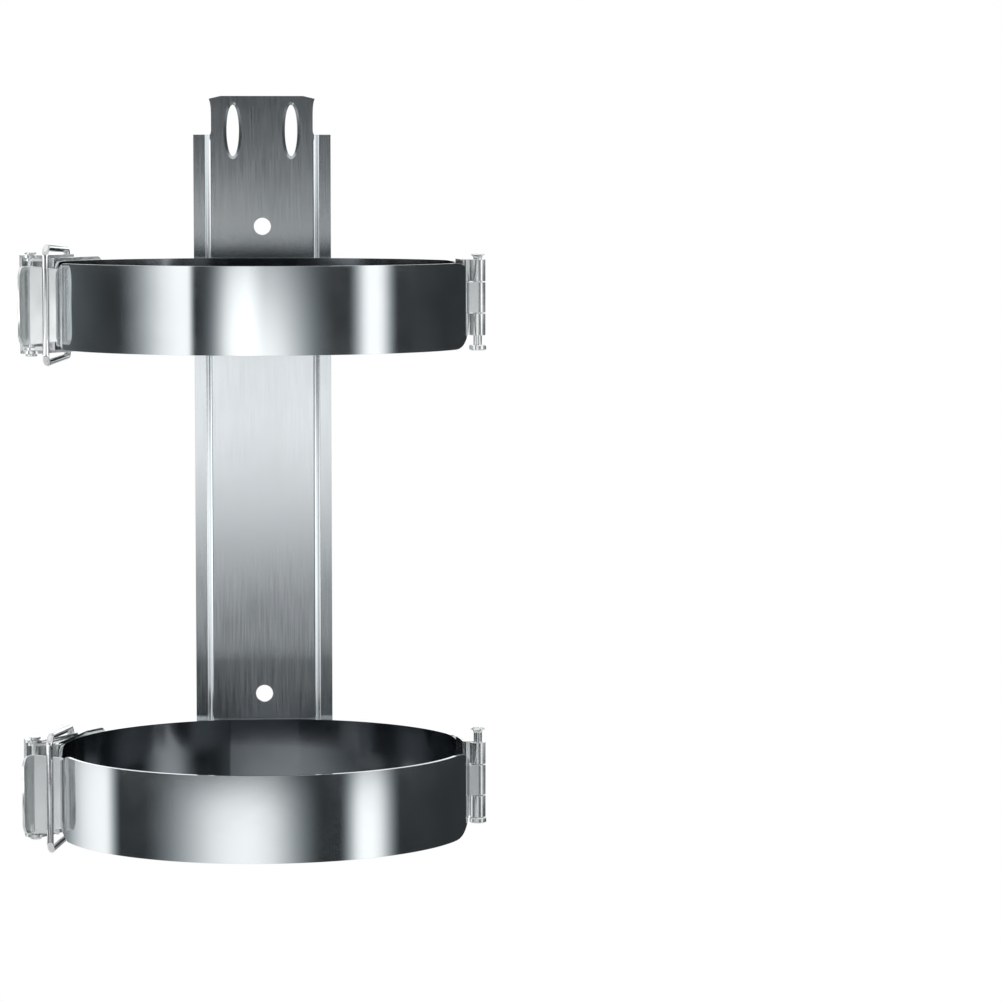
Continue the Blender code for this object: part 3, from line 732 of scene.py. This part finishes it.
def pressed_rim(spot):
    """What the press leaves free round a slot, wide in front and just inside the slot behind."""
    bm = bmesh.new()
    slope = RIM_WIDTH / RIM_DEPTH
    rings = []
    for y in (WEB_FRONT_Y - PANEL_DEPTH, WEB_FRONT_Y + RIM_DEPTH):
        wider = (WEB_FRONT_Y + RIM_DEPTH - y) * slope - RIM_OVERLAP
        rings.append([bm.verts.new((x, y, z)) for x, z in slot_outline(*spot, wider)])
    front, back = rings
    bm.faces.new(front)
    bm.faces.new(reversed(back))
    for i in range(len(front)):
        bm.faces.new((front[i - 1], back[i - 1], back[i], front[i]))
    bmesh.ops.recalc_face_normals(bm, faces=bm.faces)
    return from_bmesh("pressed_rim", bm)


def panel_outline():
    """Shallow pressed panel between the slots, rounded at its upper corners."""
    half = SLOT_PITCH / 2 - SLOT_WIDTH / 2 - PANEL_MARGIN
    top = PLATE_TOP_Z - PANEL_TOP_DROP
    low = top - PANEL_LENGTH
    return rounded([(half, low), (half, top), (-half, top), (-half, low)], PANEL_MARGIN, FINE_STEP)


def build_plate():
    """Folded plate with its tongue, panel, slots and screw holes."""
    web = WEB_WIDTH / 2
    web_y = (WEB_BACK_Y + WEB_FRONT_Y) / 2
    flange_y = -PLATE_T / 2
    corners = [(0, web_y), (web, web_y), (web + JOGGLE_RUN, flange_y),
               (web + JOGGLE_RUN + FLANGE_WIDTH, flange_y)]
    half = rounded(corners, FOLD_R, FINE_STEP)[1:]
    path = [(-x, y) for x, y in reversed(half)] + half
    plate = sheet("plate", path, lambda i: (-PLATE_FOOT_DROP, FLANGE_TOP_Z), (0, 0, 0), PLATE_T)
    tongue = slab("tongue", tongue_outline(), WEB_FRONT_Y, WEB_BACK_Y, (0, 0, 0), True)
    combine(plate, tongue, "UNION")
    front = WEB_FRONT_Y - PLATE_T
    back = WEB_BACK_Y + PLATE_T
    panel = slab("panel", panel_outline(), front, WEB_FRONT_Y + PANEL_DEPTH, (0, 0, 0), True)
    combine(plate, panel, "DIFFERENCE")
    for side in (-1, 1):
        spot = (side * SLOT_PITCH / 2, PLATE_TOP_Z - SLOT_TOP_DROP)
        slot = slab("slot", slot_outline(*spot), front, back, (0, 0, 0), True)
        combine(plate, slot, "DIFFERENCE")
        combine(plate, pressed_rim(spot), "DIFFERENCE")
    for z in (0, HOLE_PITCH):
        hole = cylinder("hole", HOLE_R, back - front, (0, web_y, z), False)
        combine(plate, hole, "DIFFERENCE")
    round_edges(plate, edge_round() / 2, 2)
    dress(plate, "back_plate", "bracket", "satin_stainless")
    # The web and the flanges stay flat beside the folds and the pressed rims
    for face in plate.data.polygons:
        face.use_smooth = abs(face.normal.y) < FLAT_NORMAL


# Clamp bands

def band_angles(start, end, first_cut, last_cut):
    """Angles along a half ring, closer together where its ends are cut back.

    A cut is (length, height taken off above, height taken off below, power).
    """
    first = first_cut[0] / BAND_R
    last = last_cut[0] / BAND_R
    shares = [(i / CUT_STEPS) ** 2 for i in range(CUT_STEPS + 1)]
    count = math.ceil((end - start - first - last) / ARC_STEP)
    step = (end - start - first - last) / count
    middle = [start + first + step * i for i in range(1, count)]
    near = [start + first * s for s in shares]
    return near + middle + [end - last * s for s in reversed(shares)]


def build_band(tier, half, body, angles, cuts):
    """A half ring whose two ends are cut back."""
    path = [polar(BAND_R, a) for a in angles]
    run = distances(path)

    def heights(i):
        top = foot = BAND_WIDTH / 2
        for distance, (length, above, below, power) in zip((run[i], run[-1] - run[i]), cuts):
            top -= end_cut(distance, length, above, power)
            foot -= end_cut(distance, length, below, power)
        return (-foot, top)

    node = f"{tier}_{half}_band"
    band = sheet(node + "_strip", path, heights, CENTRE[tier], BAND_T, two_faced=True)
    round_edges(band, edge_round())
    dress(band, node, body, "polished_stainless")
    # Slot 1, the inner side, gets the darkened steel: painted shade inside the ring
    band.data.materials.append(finish_of("mill_skin_and_shade"))


def rear_angles():
    """Angles of the fixed half, from the hinge to the latch, with its flat seat on the plate."""
    start = math.asin(HINGE_END_DROP / BAND_R)
    end = math.pi + math.asin(REAR_END_DROP / BAND_R)
    flat = math.asin(SEAT_FLAT_WIDTH / 2 / BAND_R)
    angles = band_angles(start, end, HINGE_CUT, LATCH_CUT)
    spare = flat + ARC_STEP / 3
    before = [a for a in angles if a < math.pi / 2 - spare]
    after = [a for a in angles if a > math.pi / 2 + spare]
    return before + [math.pi / 2 - flat, math.pi / 2 + flat] + after


def front_angles():
    """Angles of the swinging half, from the latch to the hinge."""
    start = math.pi + math.asin(FRONT_END_DROP / BAND_R)
    end = 2 * math.pi - math.asin(HINGE_END_DROP / BAND_R)
    return band_angles(start, end, LATCH_CUT, HINGE_CUT)


# Hinge

def build_leaf(tier, half, body, side):
    """Hinge leaf inside the band: side 1 is the rear leaf with two knuckles, -1 the front one."""
    tip = math.asin(LEAF_LENGTH / LEAF_R)
    root = math.asin(HINGE_END_DROP / LEAF_R)
    wing = arc((0, 0), LEAF_R, side * tip, side * root, ARC_STEP)
    corner = (math.sqrt(LEAF_R ** 2 - ROLL_R ** 2), side * ROLL_R)
    turn_out = rounded([wing[-1], corner, (PIN_X, side * ROLL_R)], LEAF_BEND_R, FINE_STEP)
    first = side * math.pi / 2
    roll = arc((PIN_X, 0), ROLL_R, first, first - side * ROLL_ANGLE, FINE_STEP)
    path = wing + turn_out[1:-1] + roll
    reach = HINGE_HEIGHT / 2
    inner = MIDDLE_KNUCKLE / 2 + (KNUCKLE_GAP if side > 0 else 0)
    levels = (-reach, -inner, inner, reach) if side > 0 else (-inner, inner)

    def keep(i, row):
        return side < 0 or row != 1 or i < len(wing) - 1

    place = Vector((0, HINGE[tier].y, HINGE[tier].z))
    node = f"{tier}_hinge_{half}_leaf"
    leaf = sheet(node + "_stamping", path, lambda i: levels, place, LEAF_T, keep)
    apply_all(leaf)
    inward = -Vector((*polar(1, side * (tip + root) / 2), 0))
    spot = place - inward * (LEAF_R - LEAF_T / 2)
    rises = (-reach / 2, reach / 2) if side > 0 else (0,)
    marks = [(spot + Vector((0, 0, z)), inward) for z in rises]
    weld_marks(leaf, marks, bpy.context.scene.bracket_sizes.weld_mark)
    round_edges(leaf, edge_round() / 2, 2)
    dress(leaf, node, body, "stamped_stainless")


def flare_profile(top):
    """Inner and outer side of the flared end, both from the top of the hinge upwards."""
    outer = []
    inner = []
    for i in range(QUARTER_STEPS + 1):
        turn = math.pi / 2 * i / QUARTER_STEPS
        rise = FLARE_HEIGHT * math.sin(turn)
        spread_out = 1 - math.cos(turn)
        outer.append((PIN_R + (FLARE_R - PIN_R) * spread_out, top + rise))
        reach = PIN_BORE_R + (FLARE_R - FLARE_WALL - PIN_BORE_R) * spread_out
        inner.append((reach, top + rise + FLARE_WALL))
    return inner, outer


def build_hinge_pin(tier):
    """Turned pin, a flat head below and a tubular end above, flared and split into petals."""
    top = HINGE_HEIGHT / 2 + SEAT_GAP
    low = -top - PIN_FLOAT
    foot = low - PIN_FLANGE_T
    inner, outer = flare_profile(top)
    chamfer = PIN_FLANGE_CHAMFER
    head = [(PIN_R, low), (PIN_FLANGE_R - chamfer, low), (PIN_FLANGE_R, low - chamfer),
            (PIN_FLANGE_R, foot + chamfer), (PIN_FLANGE_R - chamfer, foot), (0, foot)]
    floor = [(0, top - PIN_BORE_DEPTH), (PIN_BORE_R, top - PIN_BORE_DEPTH)]
    place = HINGE[tier] + Vector((0, 0, PIN_FLOAT if tier == "lower" else 0))
    pin = turned(f"{tier}_hinge_pin_turned", floor + inner + outer[::-1] + head, place)
    apply_all(pin)
    bm = bmesh.new()
    slit_low = top + FLARE_HEIGHT / 3
    slit_high = top + 2 * FLARE_HEIGHT + FLARE_WALL
    for i in range(PETALS):
        made = bmesh.ops.create_cube(bm, size=1.0)["verts"]
        bmesh.ops.scale(bm, verts=made, vec=(FLARE_R, PETAL_SLIT, slit_high - slit_low))
        middle = (PIN_R + FLARE_R / 2, 0, (slit_low + slit_high) / 2)
        bmesh.ops.translate(bm, verts=made, vec=middle)
        turn = Matrix.Rotation(2 * math.pi * i / PETALS, 3, "Z")
        bmesh.ops.rotate(bm, verts=made, cent=(0, 0, 0), matrix=turn)
    combine(pin, from_bmesh("slits", bm, place), "DIFFERENCE")
    round_edges(pin, edge_round() / 4, 2)
    dress(pin, f"{tier}_hinge_pin", f"{tier}_pin", "stamped_stainless")


# Latch

def add_ears(item, outline, near, far, place):
    """Join a pair of level ears, above and below the middle of the band."""
    combine(item, slab("upper_ear", outline, near, far, place), "UNION")
    combine(item, slab("lower_ear", outline, -far, -near, place), "UNION")


def bore(item, spot, radius, height, place):
    """Bore a round hole along Z through the whole item."""
    drill = cylinder("bore", radius, height, Vector(place) + Vector((*spot, 0)))
    combine(item, drill, "DIFFERENCE")


def build_base(tier):
    """Curved strip on the rear band with two ears that carry the lever's pin."""
    place = CENTRE[tier]
    end = math.pi - math.asin(BASE_LENGTH / BASE_R)
    path = arc((0, 0), BASE_R, math.pi, end, ARC_STEP)
    run = distances(path)

    def heights(i):
        drop = end_cut(run[-1] - run[i], BASE_CORNER_LENGTH, BASE_CORNER_HEIGHT, STRAIGHT)
        return (drop - BASE_SIDE_Z, BASE_SIDE_Z - drop)

    base = sheet(f"{tier}_latch_base_stamping", path, heights, place, BASE_T)
    roots = [polar(BASE_R, math.pi - math.asin(y / BASE_R))
             for y in (EAR_ROOT_START, EAR_ROOT_END)]
    outline = hull(disc(PIVOT, EAR_LOBE_R) + roots)
    add_ears(base, outline, BASE_SIDE_Z - EAR_T, BASE_SIDE_Z, place)
    bore(base, PIVOT, LEVER_PIN_R + BORE_GAP, 3 * BASE_SIDE_Z, place)
    marks = []
    for share in BASE_WELD_SHARES:
        outward = polar(1, math.pi - math.asin(BASE_LENGTH * share / BASE_R))
        for z in (-BASE_SIDE_Z / 2, BASE_SIDE_Z / 2):
            spot = place + Vector((*outward, 0)) * (BASE_R + BASE_T / 2) + Vector((0, 0, z))
            marks.append((spot, (*outward, 0)))
    weld_marks(base, marks, bpy.context.scene.bracket_sizes.weld_mark)
    round_edges(base, edge_round() / 2, 2)
    dress(base, f"{tier}_latch_base", "bracket", "stamped_stainless")


def build_lever(tier):
    """Channel lever: two ears outside those of the base, a web and a curled finger tab."""
    place = CENTRE[tier]
    start = math.pi - math.asin((PIVOT[1] + WEB_SETBACK) / WEB_R)
    end = start - LEVER_LENGTH / WEB_R
    web_path = arc((0, 0), WEB_R, start, end, ARC_STEP)
    curl_r = TAB_LENGTH / TAB_CURL
    first = end + math.pi
    tab_centre = polar(WEB_R + curl_r, end)
    tab = arc(tab_centre, curl_r, first, first + TAB_CURL, TAB_CURL / TAB_STEPS)[1:]
    path = web_path + tab
    run = distances(path)

    def heights(i):
        if i < len(web_path):
            return (-LEVER_SIDE_Z, LEVER_SIDE_Z)
        drop = end_cut(run[-1] - run[i], TAB_CORNER_LENGTH, TAB_CORNER_HEIGHT, ROUND)
        left = max(0, 1 - (i - len(web_path)) / TAB_SHOULDER_STEPS)
        shoulder = (LEVER_SIDE_Z - TAB_HEIGHT / 2) * left ** 2
        return (drop - shoulder - TAB_HEIGHT / 2, TAB_HEIGHT / 2 + shoulder - drop)

    lever = sheet(f"{tier}_latch_lever_stamping", path, heights, place, LEVER_T)
    outline = hull(disc(PIVOT, PIVOT_TO_WEB) + disc(EYE, EYE_LOBE_R) + web_path)
    add_ears(lever, outline, LEVER_EAR_Z, LEVER_SIDE_Z, place)
    bore(lever, PIVOT, LEVER_PIN_R + BORE_GAP, 3 * LEVER_SIDE_Z, place)
    bore(lever, EYE, WIRE_R + BORE_GAP, 3 * LEVER_SIDE_Z, place)
    round_edges(lever, edge_round() / 2, 2)
    dress(lever, f"{tier}_latch_lever", f"{tier}_lever", "stamped_stainless")


def build_lever_pin(tier):
    """Turned pin through the four ears, with a head at each end."""
    under = LEVER_SIDE_Z + SEAT_GAP
    over = under + LEVER_HEAD_T
    chamfer = LEVER_HEAD_CHAMFER
    upper = [(0, over), (LEVER_HEAD_R - chamfer, over), (LEVER_HEAD_R, over - chamfer),
             (LEVER_HEAD_R, under), (LEVER_PIN_R, under)]
    profile = upper + [(r, -z) for r, z in reversed(upper)]
    pin = turned(f"{tier}_lever_pin_turned", profile, LEVER[tier])
    apply_all(pin)
    round_edges(pin, edge_round() / 4, 2)
    dress(pin, f"{tier}_lever_pin", "bracket", "stamped_stainless")


def build_bail(tier):
    """Round wire loop whose bent ends sit in the ears of the lever."""
    reach = math.dist(EYE, BAR)
    arm_z = LEVER_SIDE_Z + ARM_GAP + WIRE_R
    bar_z = arm_z + ARM_SPREAD
    middle = (reach / 2, (arm_z + bar_z) / 2)
    eye_end = rounded([(0, LEVER_EAR_Z), (0, arm_z), middle], EYE_BEND_R, FINE_STEP)
    bar_end = rounded([middle, (reach, bar_z), (reach, 0)], BAR_BEND_R, FINE_STEP)
    upper = eye_end + bar_end[1:-1]
    points = upper + [(run, -z) for run, z in reversed(upper)]
    curve = bpy.data.curves.new(tier + "_wire", "CURVE")
    curve.dimensions = "3D"
    curve.bevel_depth = WIRE_R
    curve.bevel_resolution = WIRE_RESOLUTION
    curve.use_fill_caps = True
    spline = curve.splines.new("POLY")
    spline.points.add(len(points) - 1)
    along = (Vector(BAR) - Vector(EYE)) / reach
    for point, (run, z) in zip(spline.points, points):
        point.co = (EYE[0] + along.x * run, EYE[1] + along.y * run, z, 1)
    bail = as_mesh(add_piece(f"{tier}_wire_bail_drawn", curve, CENTRE[tier]))
    round_edges(bail, edge_round())
    dress(bail, f"{tier}_wire_bail", f"{tier}_bail", "bright_wire")


def build_keeper(tier):
    """Hook on the front band: a leg inside its end, a web across the gap and a flared lip."""
    band_end = math.pi + math.asin(FRONT_END_DROP / BAND_R)
    leg = arc((0, 0), KEEPER_R, band_end + KEEPER_LEG / KEEPER_R, band_end, ARC_STEP)
    corner = polar(KEEPER_R, math.pi + math.asin(-KEEPER_Y / KEEPER_R))
    outer = (BAR[0] - CROOK_WIDTH, KEEPER_Y)
    lip = (outer[0] - LIP_LENGTH * math.sin(LIP_LEAN),
           outer[1] - LIP_LENGTH * math.cos(LIP_LEAN))
    bends = rounded([leg[-1], corner, outer, lip], KEEPER_BEND_R, FINE_STEP)
    path = leg[:-1] + bends[:-1] + between(bends[-2], lip, LIP_STEPS)[1:] + [lip]
    run = distances(path)
    leg_run = run[len(leg) - 1]
    leg_half = BAND_WIDTH / 2 - LATCH_CUT_HEIGHT

    def heights(i):
        rise = min(1.0, max(0.0, (run[i] - leg_run) / (2 * KEEPER_CORNER_HEIGHT)))
        arch = math.sin(rise * math.pi / 2)
        half = leg_half + (KEEPER_HEIGHT / 2 - leg_half) * arch
        half -= end_cut(run[-1] - run[i], KEEPER_CORNER_LENGTH, KEEPER_CORNER_HEIGHT, ROUND)
        return (-half, half)

    keeper = sheet(f"{tier}_keeper_stamping", path, heights, CENTRE[tier], KEEPER_T)
    round_edges(keeper, edge_round())
    dress(keeper, f"{tier}_keeper", f"{tier}_front", "stamped_stainless")


# Studio

def ramp(tree, value, start, end):
    """Rises softly from 0 to 1 between two values, or falls where end is below start."""
    return add_node(tree, "ShaderNodeMapRange", {
        "Value": value, "From Min": start, "From Max": end,
    }, interpolation_type="SMOOTHSTEP").outputs["Result"]


def times(tree, a, b):
    """Product of two values."""
    return add_node(tree, "ShaderNodeMath", {0: a, 1: b}, operation="MULTIPLY").outputs[0]


def window(tree, azimuth, height, across, up, level):
    """Light of one soft window, from its two spans and its level."""
    light = level
    for value, (start, full, last, end) in ((azimuth, across), (height, up)):
        light = times(tree, light, ramp(tree, value, start, full))
        light = times(tree, light, ramp(tree, value, end, last))
    return light


def tent_material():
    """Dark cloth with lit windows: what polished metal in a light tent mirrors."""
    material = bpy.data.materials.new("studio_tent")
    material.use_nodes = True
    tree = material.node_tree
    tree.nodes.clear()
    place = add_node(tree, "ShaderNodeTexCoord").outputs["Object"]
    parts = add_node(tree, "ShaderNodeSeparateXYZ", {0: place})
    front = times(tree, parts.outputs["Y"], -1.0)
    angle = add_node(tree, "ShaderNodeMath", {
        0: parts.outputs["X"], 1: front,
    }, operation="ARCTAN2").outputs[0]
    azimuth = add_node(tree, "ShaderNodeMath", {0: angle}, operation="DEGREES").outputs[0]
    light = add_node(tree, "ShaderNodeMapRange", {
        "Value": azimuth, "From Min": TENT_DARK_END, "From Max": TENT_GREY_START,
        "To Min": TENT_DARK, "To Max": TENT_GREY,
    }).outputs["Result"]
    for across, up, level in WINDOWS:
        lit = window(tree, azimuth, parts.outputs["Z"], across, up, level)
        light = add_node(tree, "ShaderNodeMath", {0: light, 1: lit}, operation="ADD").outputs[0]
    hue = add_node(tree, "ShaderNodeMix", {
        "Factor": light, 6: (*linear("#cddae1"), 1), 7: (*linear("#fdfeff"), 1),
    }, data_type="RGBA").outputs[2]
    glow = add_node(tree, "ShaderNodeEmission", {"Color": hue, "Strength": light})
    add_node(tree, "ShaderNodeOutputMaterial", {"Surface": glow.outputs["Emission"]})
    return material


def white_world():
    """White for what the camera, metal and glass see, and a plain level for the rest."""
    world = bpy.data.worlds.new("white_studio")
    world.use_nodes = True
    tree = world.node_tree
    tree.nodes.clear()
    path = add_node(tree, "ShaderNodeLightPath")
    seen = path.outputs["Is Camera Ray"]
    for name in ("Is Glossy Ray", "Is Transmission Ray"):
        seen = add_node(tree, "ShaderNodeMath", {0: seen, 1: path.outputs[name]},
                        operation="MAXIMUM").outputs[0]
    level = add_node(tree, "ShaderNodeMapRange", {
        "Value": seen, "To Min": SOFT_LEVEL, "To Max": 1.0,
    })
    glow = add_node(tree, "ShaderNodeBackground", {
        "Color": (1, 1, 1, 1), "Strength": level.outputs["Result"],
    })
    add_node(tree, "ShaderNodeOutputWorld", {"Surface": glow.outputs[0]})
    bpy.context.scene.world = world


def floor_material():
    """Matt white floor paper, white to the camera, with the shadow left to its diffuse part."""
    material = bpy.data.materials.new("floor_paper")
    material.use_nodes = True
    tree = material.node_tree
    tree.nodes.clear()
    path = add_node(tree, "ShaderNodeLightPath")
    glow = add_node(tree, "ShaderNodeEmission", {"Color": (1, 1, 1, 1), "Strength": 1.0})
    paper = add_node(tree, "ShaderNodeBsdfDiffuse", {"Color": (*linear("#f4f4f2"), 1)})
    both = add_node(tree, "ShaderNodeMixShader", {
        0: path.outputs["Is Camera Ray"], 1: paper.outputs[0], 2: glow.outputs[0],
    })
    add_node(tree, "ShaderNodeOutputMaterial", {"Surface": both.outputs[0]})
    return material


def build_stage():
    """Camera, white surroundings, floor and the light tent."""
    middle = CENTRE["upper"].y
    data = bpy.data.cameras.new("camera")
    data.lens = LENS_MM
    data.sensor_width = SENSOR_MM
    data.clip_end = CAMERA_REACH
    camera = add_piece("camera", data, (0, middle - EYE_DISTANCE, EYE_HEIGHT))
    camera.rotation_euler = (math.pi / 2 - CAMERA_TILT, 0, -CAMERA_PAN)
    bpy.context.scene.camera = camera
    bpy.context.scene.view_settings.view_transform = "Standard"
    white_world()
    bm = bmesh.new()
    bmesh.ops.create_grid(bm, x_segments=1, y_segments=1, size=FLOOR_SIZE / 2)
    floor = from_bmesh("floor", bm, (0, middle, FLOOR_Z))
    floor.data.materials.append(floor_material())
    bm = bmesh.new()
    bmesh.ops.create_cone(bm, cap_ends=False, segments=TENT_SEGMENTS, radius1=TENT_R,
                          radius2=TENT_R, depth=2 * TENT_HALF_HEIGHT)
    tent = from_bmesh("tent", bm, (0, middle, 0))
    tent.data.materials.append(tent_material())
    tent.visible_camera = False
    tent.visible_shadow = False


# Operators, one for each piece or group of like pieces

class BRACKET_OT_stage(bpy.types.Operator):
    """Set up the camera, the floor and the light tent."""
    bl_idname = "bracket.stage"
    bl_label = "Stage"

    def execute(self, context):
        build_stage()
        return {"FINISHED"}


class BRACKET_OT_plate(bpy.types.Operator):
    """Make the satin back plate."""
    bl_idname = "bracket.plate"
    bl_label = "Back plate"

    def execute(self, context):
        build_plate()
        return {"FINISHED"}


class BRACKET_OT_bands(bpy.types.Operator):
    """Make the polished half rings."""
    bl_idname = "bracket.bands"
    bl_label = "Clamp bands"

    def execute(self, context):
        for tier in TIERS:
            build_band(tier, "rear", "bracket", rear_angles(), (HINGE_CUT, LATCH_CUT))
            build_band(tier, "front", tier + "_front", front_angles(), (LATCH_CUT, HINGE_CUT))
        return {"FINISHED"}


class BRACKET_OT_hinges(bpy.types.Operator):
    """Make the hinge leaves with their knuckles."""
    bl_idname = "bracket.hinges"
    bl_label = "Hinge leaves"

    def execute(self, context):
        for tier in TIERS:
            build_leaf(tier, "rear", "bracket", 1)
            build_leaf(tier, "front", tier + "_front", -1)
        return {"FINISHED"}


class BRACKET_OT_pins(bpy.types.Operator):
    """Make the hinge pins and the lever pins."""
    bl_idname = "bracket.pins"
    bl_label = "Pins"

    def execute(self, context):
        for tier in TIERS:
            build_hinge_pin(tier)
            build_lever_pin(tier)
        return {"FINISHED"}


class BRACKET_OT_latches(bpy.types.Operator):
    """Make the latch bases and the levers."""
    bl_idname = "bracket.latches"
    bl_label = "Latch bases and levers"

    def execute(self, context):
        for tier in TIERS:
            build_base(tier)
            build_lever(tier)
        return {"FINISHED"}


class BRACKET_OT_bails(bpy.types.Operator):
    """Make the wire bails."""
    bl_idname = "bracket.bails"
    bl_label = "Wire bails"

    def execute(self, context):
        for tier in TIERS:
            build_bail(tier)
        return {"FINISHED"}


class BRACKET_OT_keepers(bpy.types.Operator):
    """Make the hook keepers."""
    bl_idname = "bracket.keepers"
    bl_label = "Keepers"

    def execute(self, context):
        for tier in TIERS:
            build_keeper(tier)
        return {"FINISHED"}


OPERATORS = (
    BRACKET_OT_stage, BRACKET_OT_plate, BRACKET_OT_bands, BRACKET_OT_hinges,
    BRACKET_OT_pins, BRACKET_OT_latches, BRACKET_OT_bails, BRACKET_OT_keepers,
)


class BRACKET_PT_panel(bpy.types.Panel):
    """Sizes, colours and one button for each group of pieces."""
    bl_idname = "BRACKET_PT_panel"
    bl_label = "Extinguisher Bracket"
    bl_space_type = "VIEW_3D"
    bl_region_type = "UI"
    bl_category = "Bracket"

    def draw(self, context):
        for settings in (context.scene.bracket_sizes, context.scene.bracket_colors):
            for name in settings.__annotations__:
                self.layout.prop(settings, name)
        for operator in OPERATORS:
            self.layout.operator(operator.bl_idname)


CLASSES = (BracketSizes, BracketColors, *OPERATORS, BRACKET_PT_panel)


def register():
    """Register the classes and attach the settings to the scene."""
    for item in CLASSES:
        bpy.utils.register_class(item)
    bpy.types.Scene.bracket_sizes = PointerProperty(type=BracketSizes)
    bpy.types.Scene.bracket_colors = PointerProperty(type=BracketColors)


def unregister():
    """Undo what register does."""
    del bpy.types.Scene.bracket_colors
    del bpy.types.Scene.bracket_sizes
    for item in reversed(CLASSES):
        bpy.utils.unregister_class(item)


def main():
    """Build every piece in order."""
    register()
    for operator in OPERATORS:
        group, name = operator.bl_idname.split(".")
        getattr(getattr(bpy.ops, group), name)()


if __name__ == "__main__":
    main()
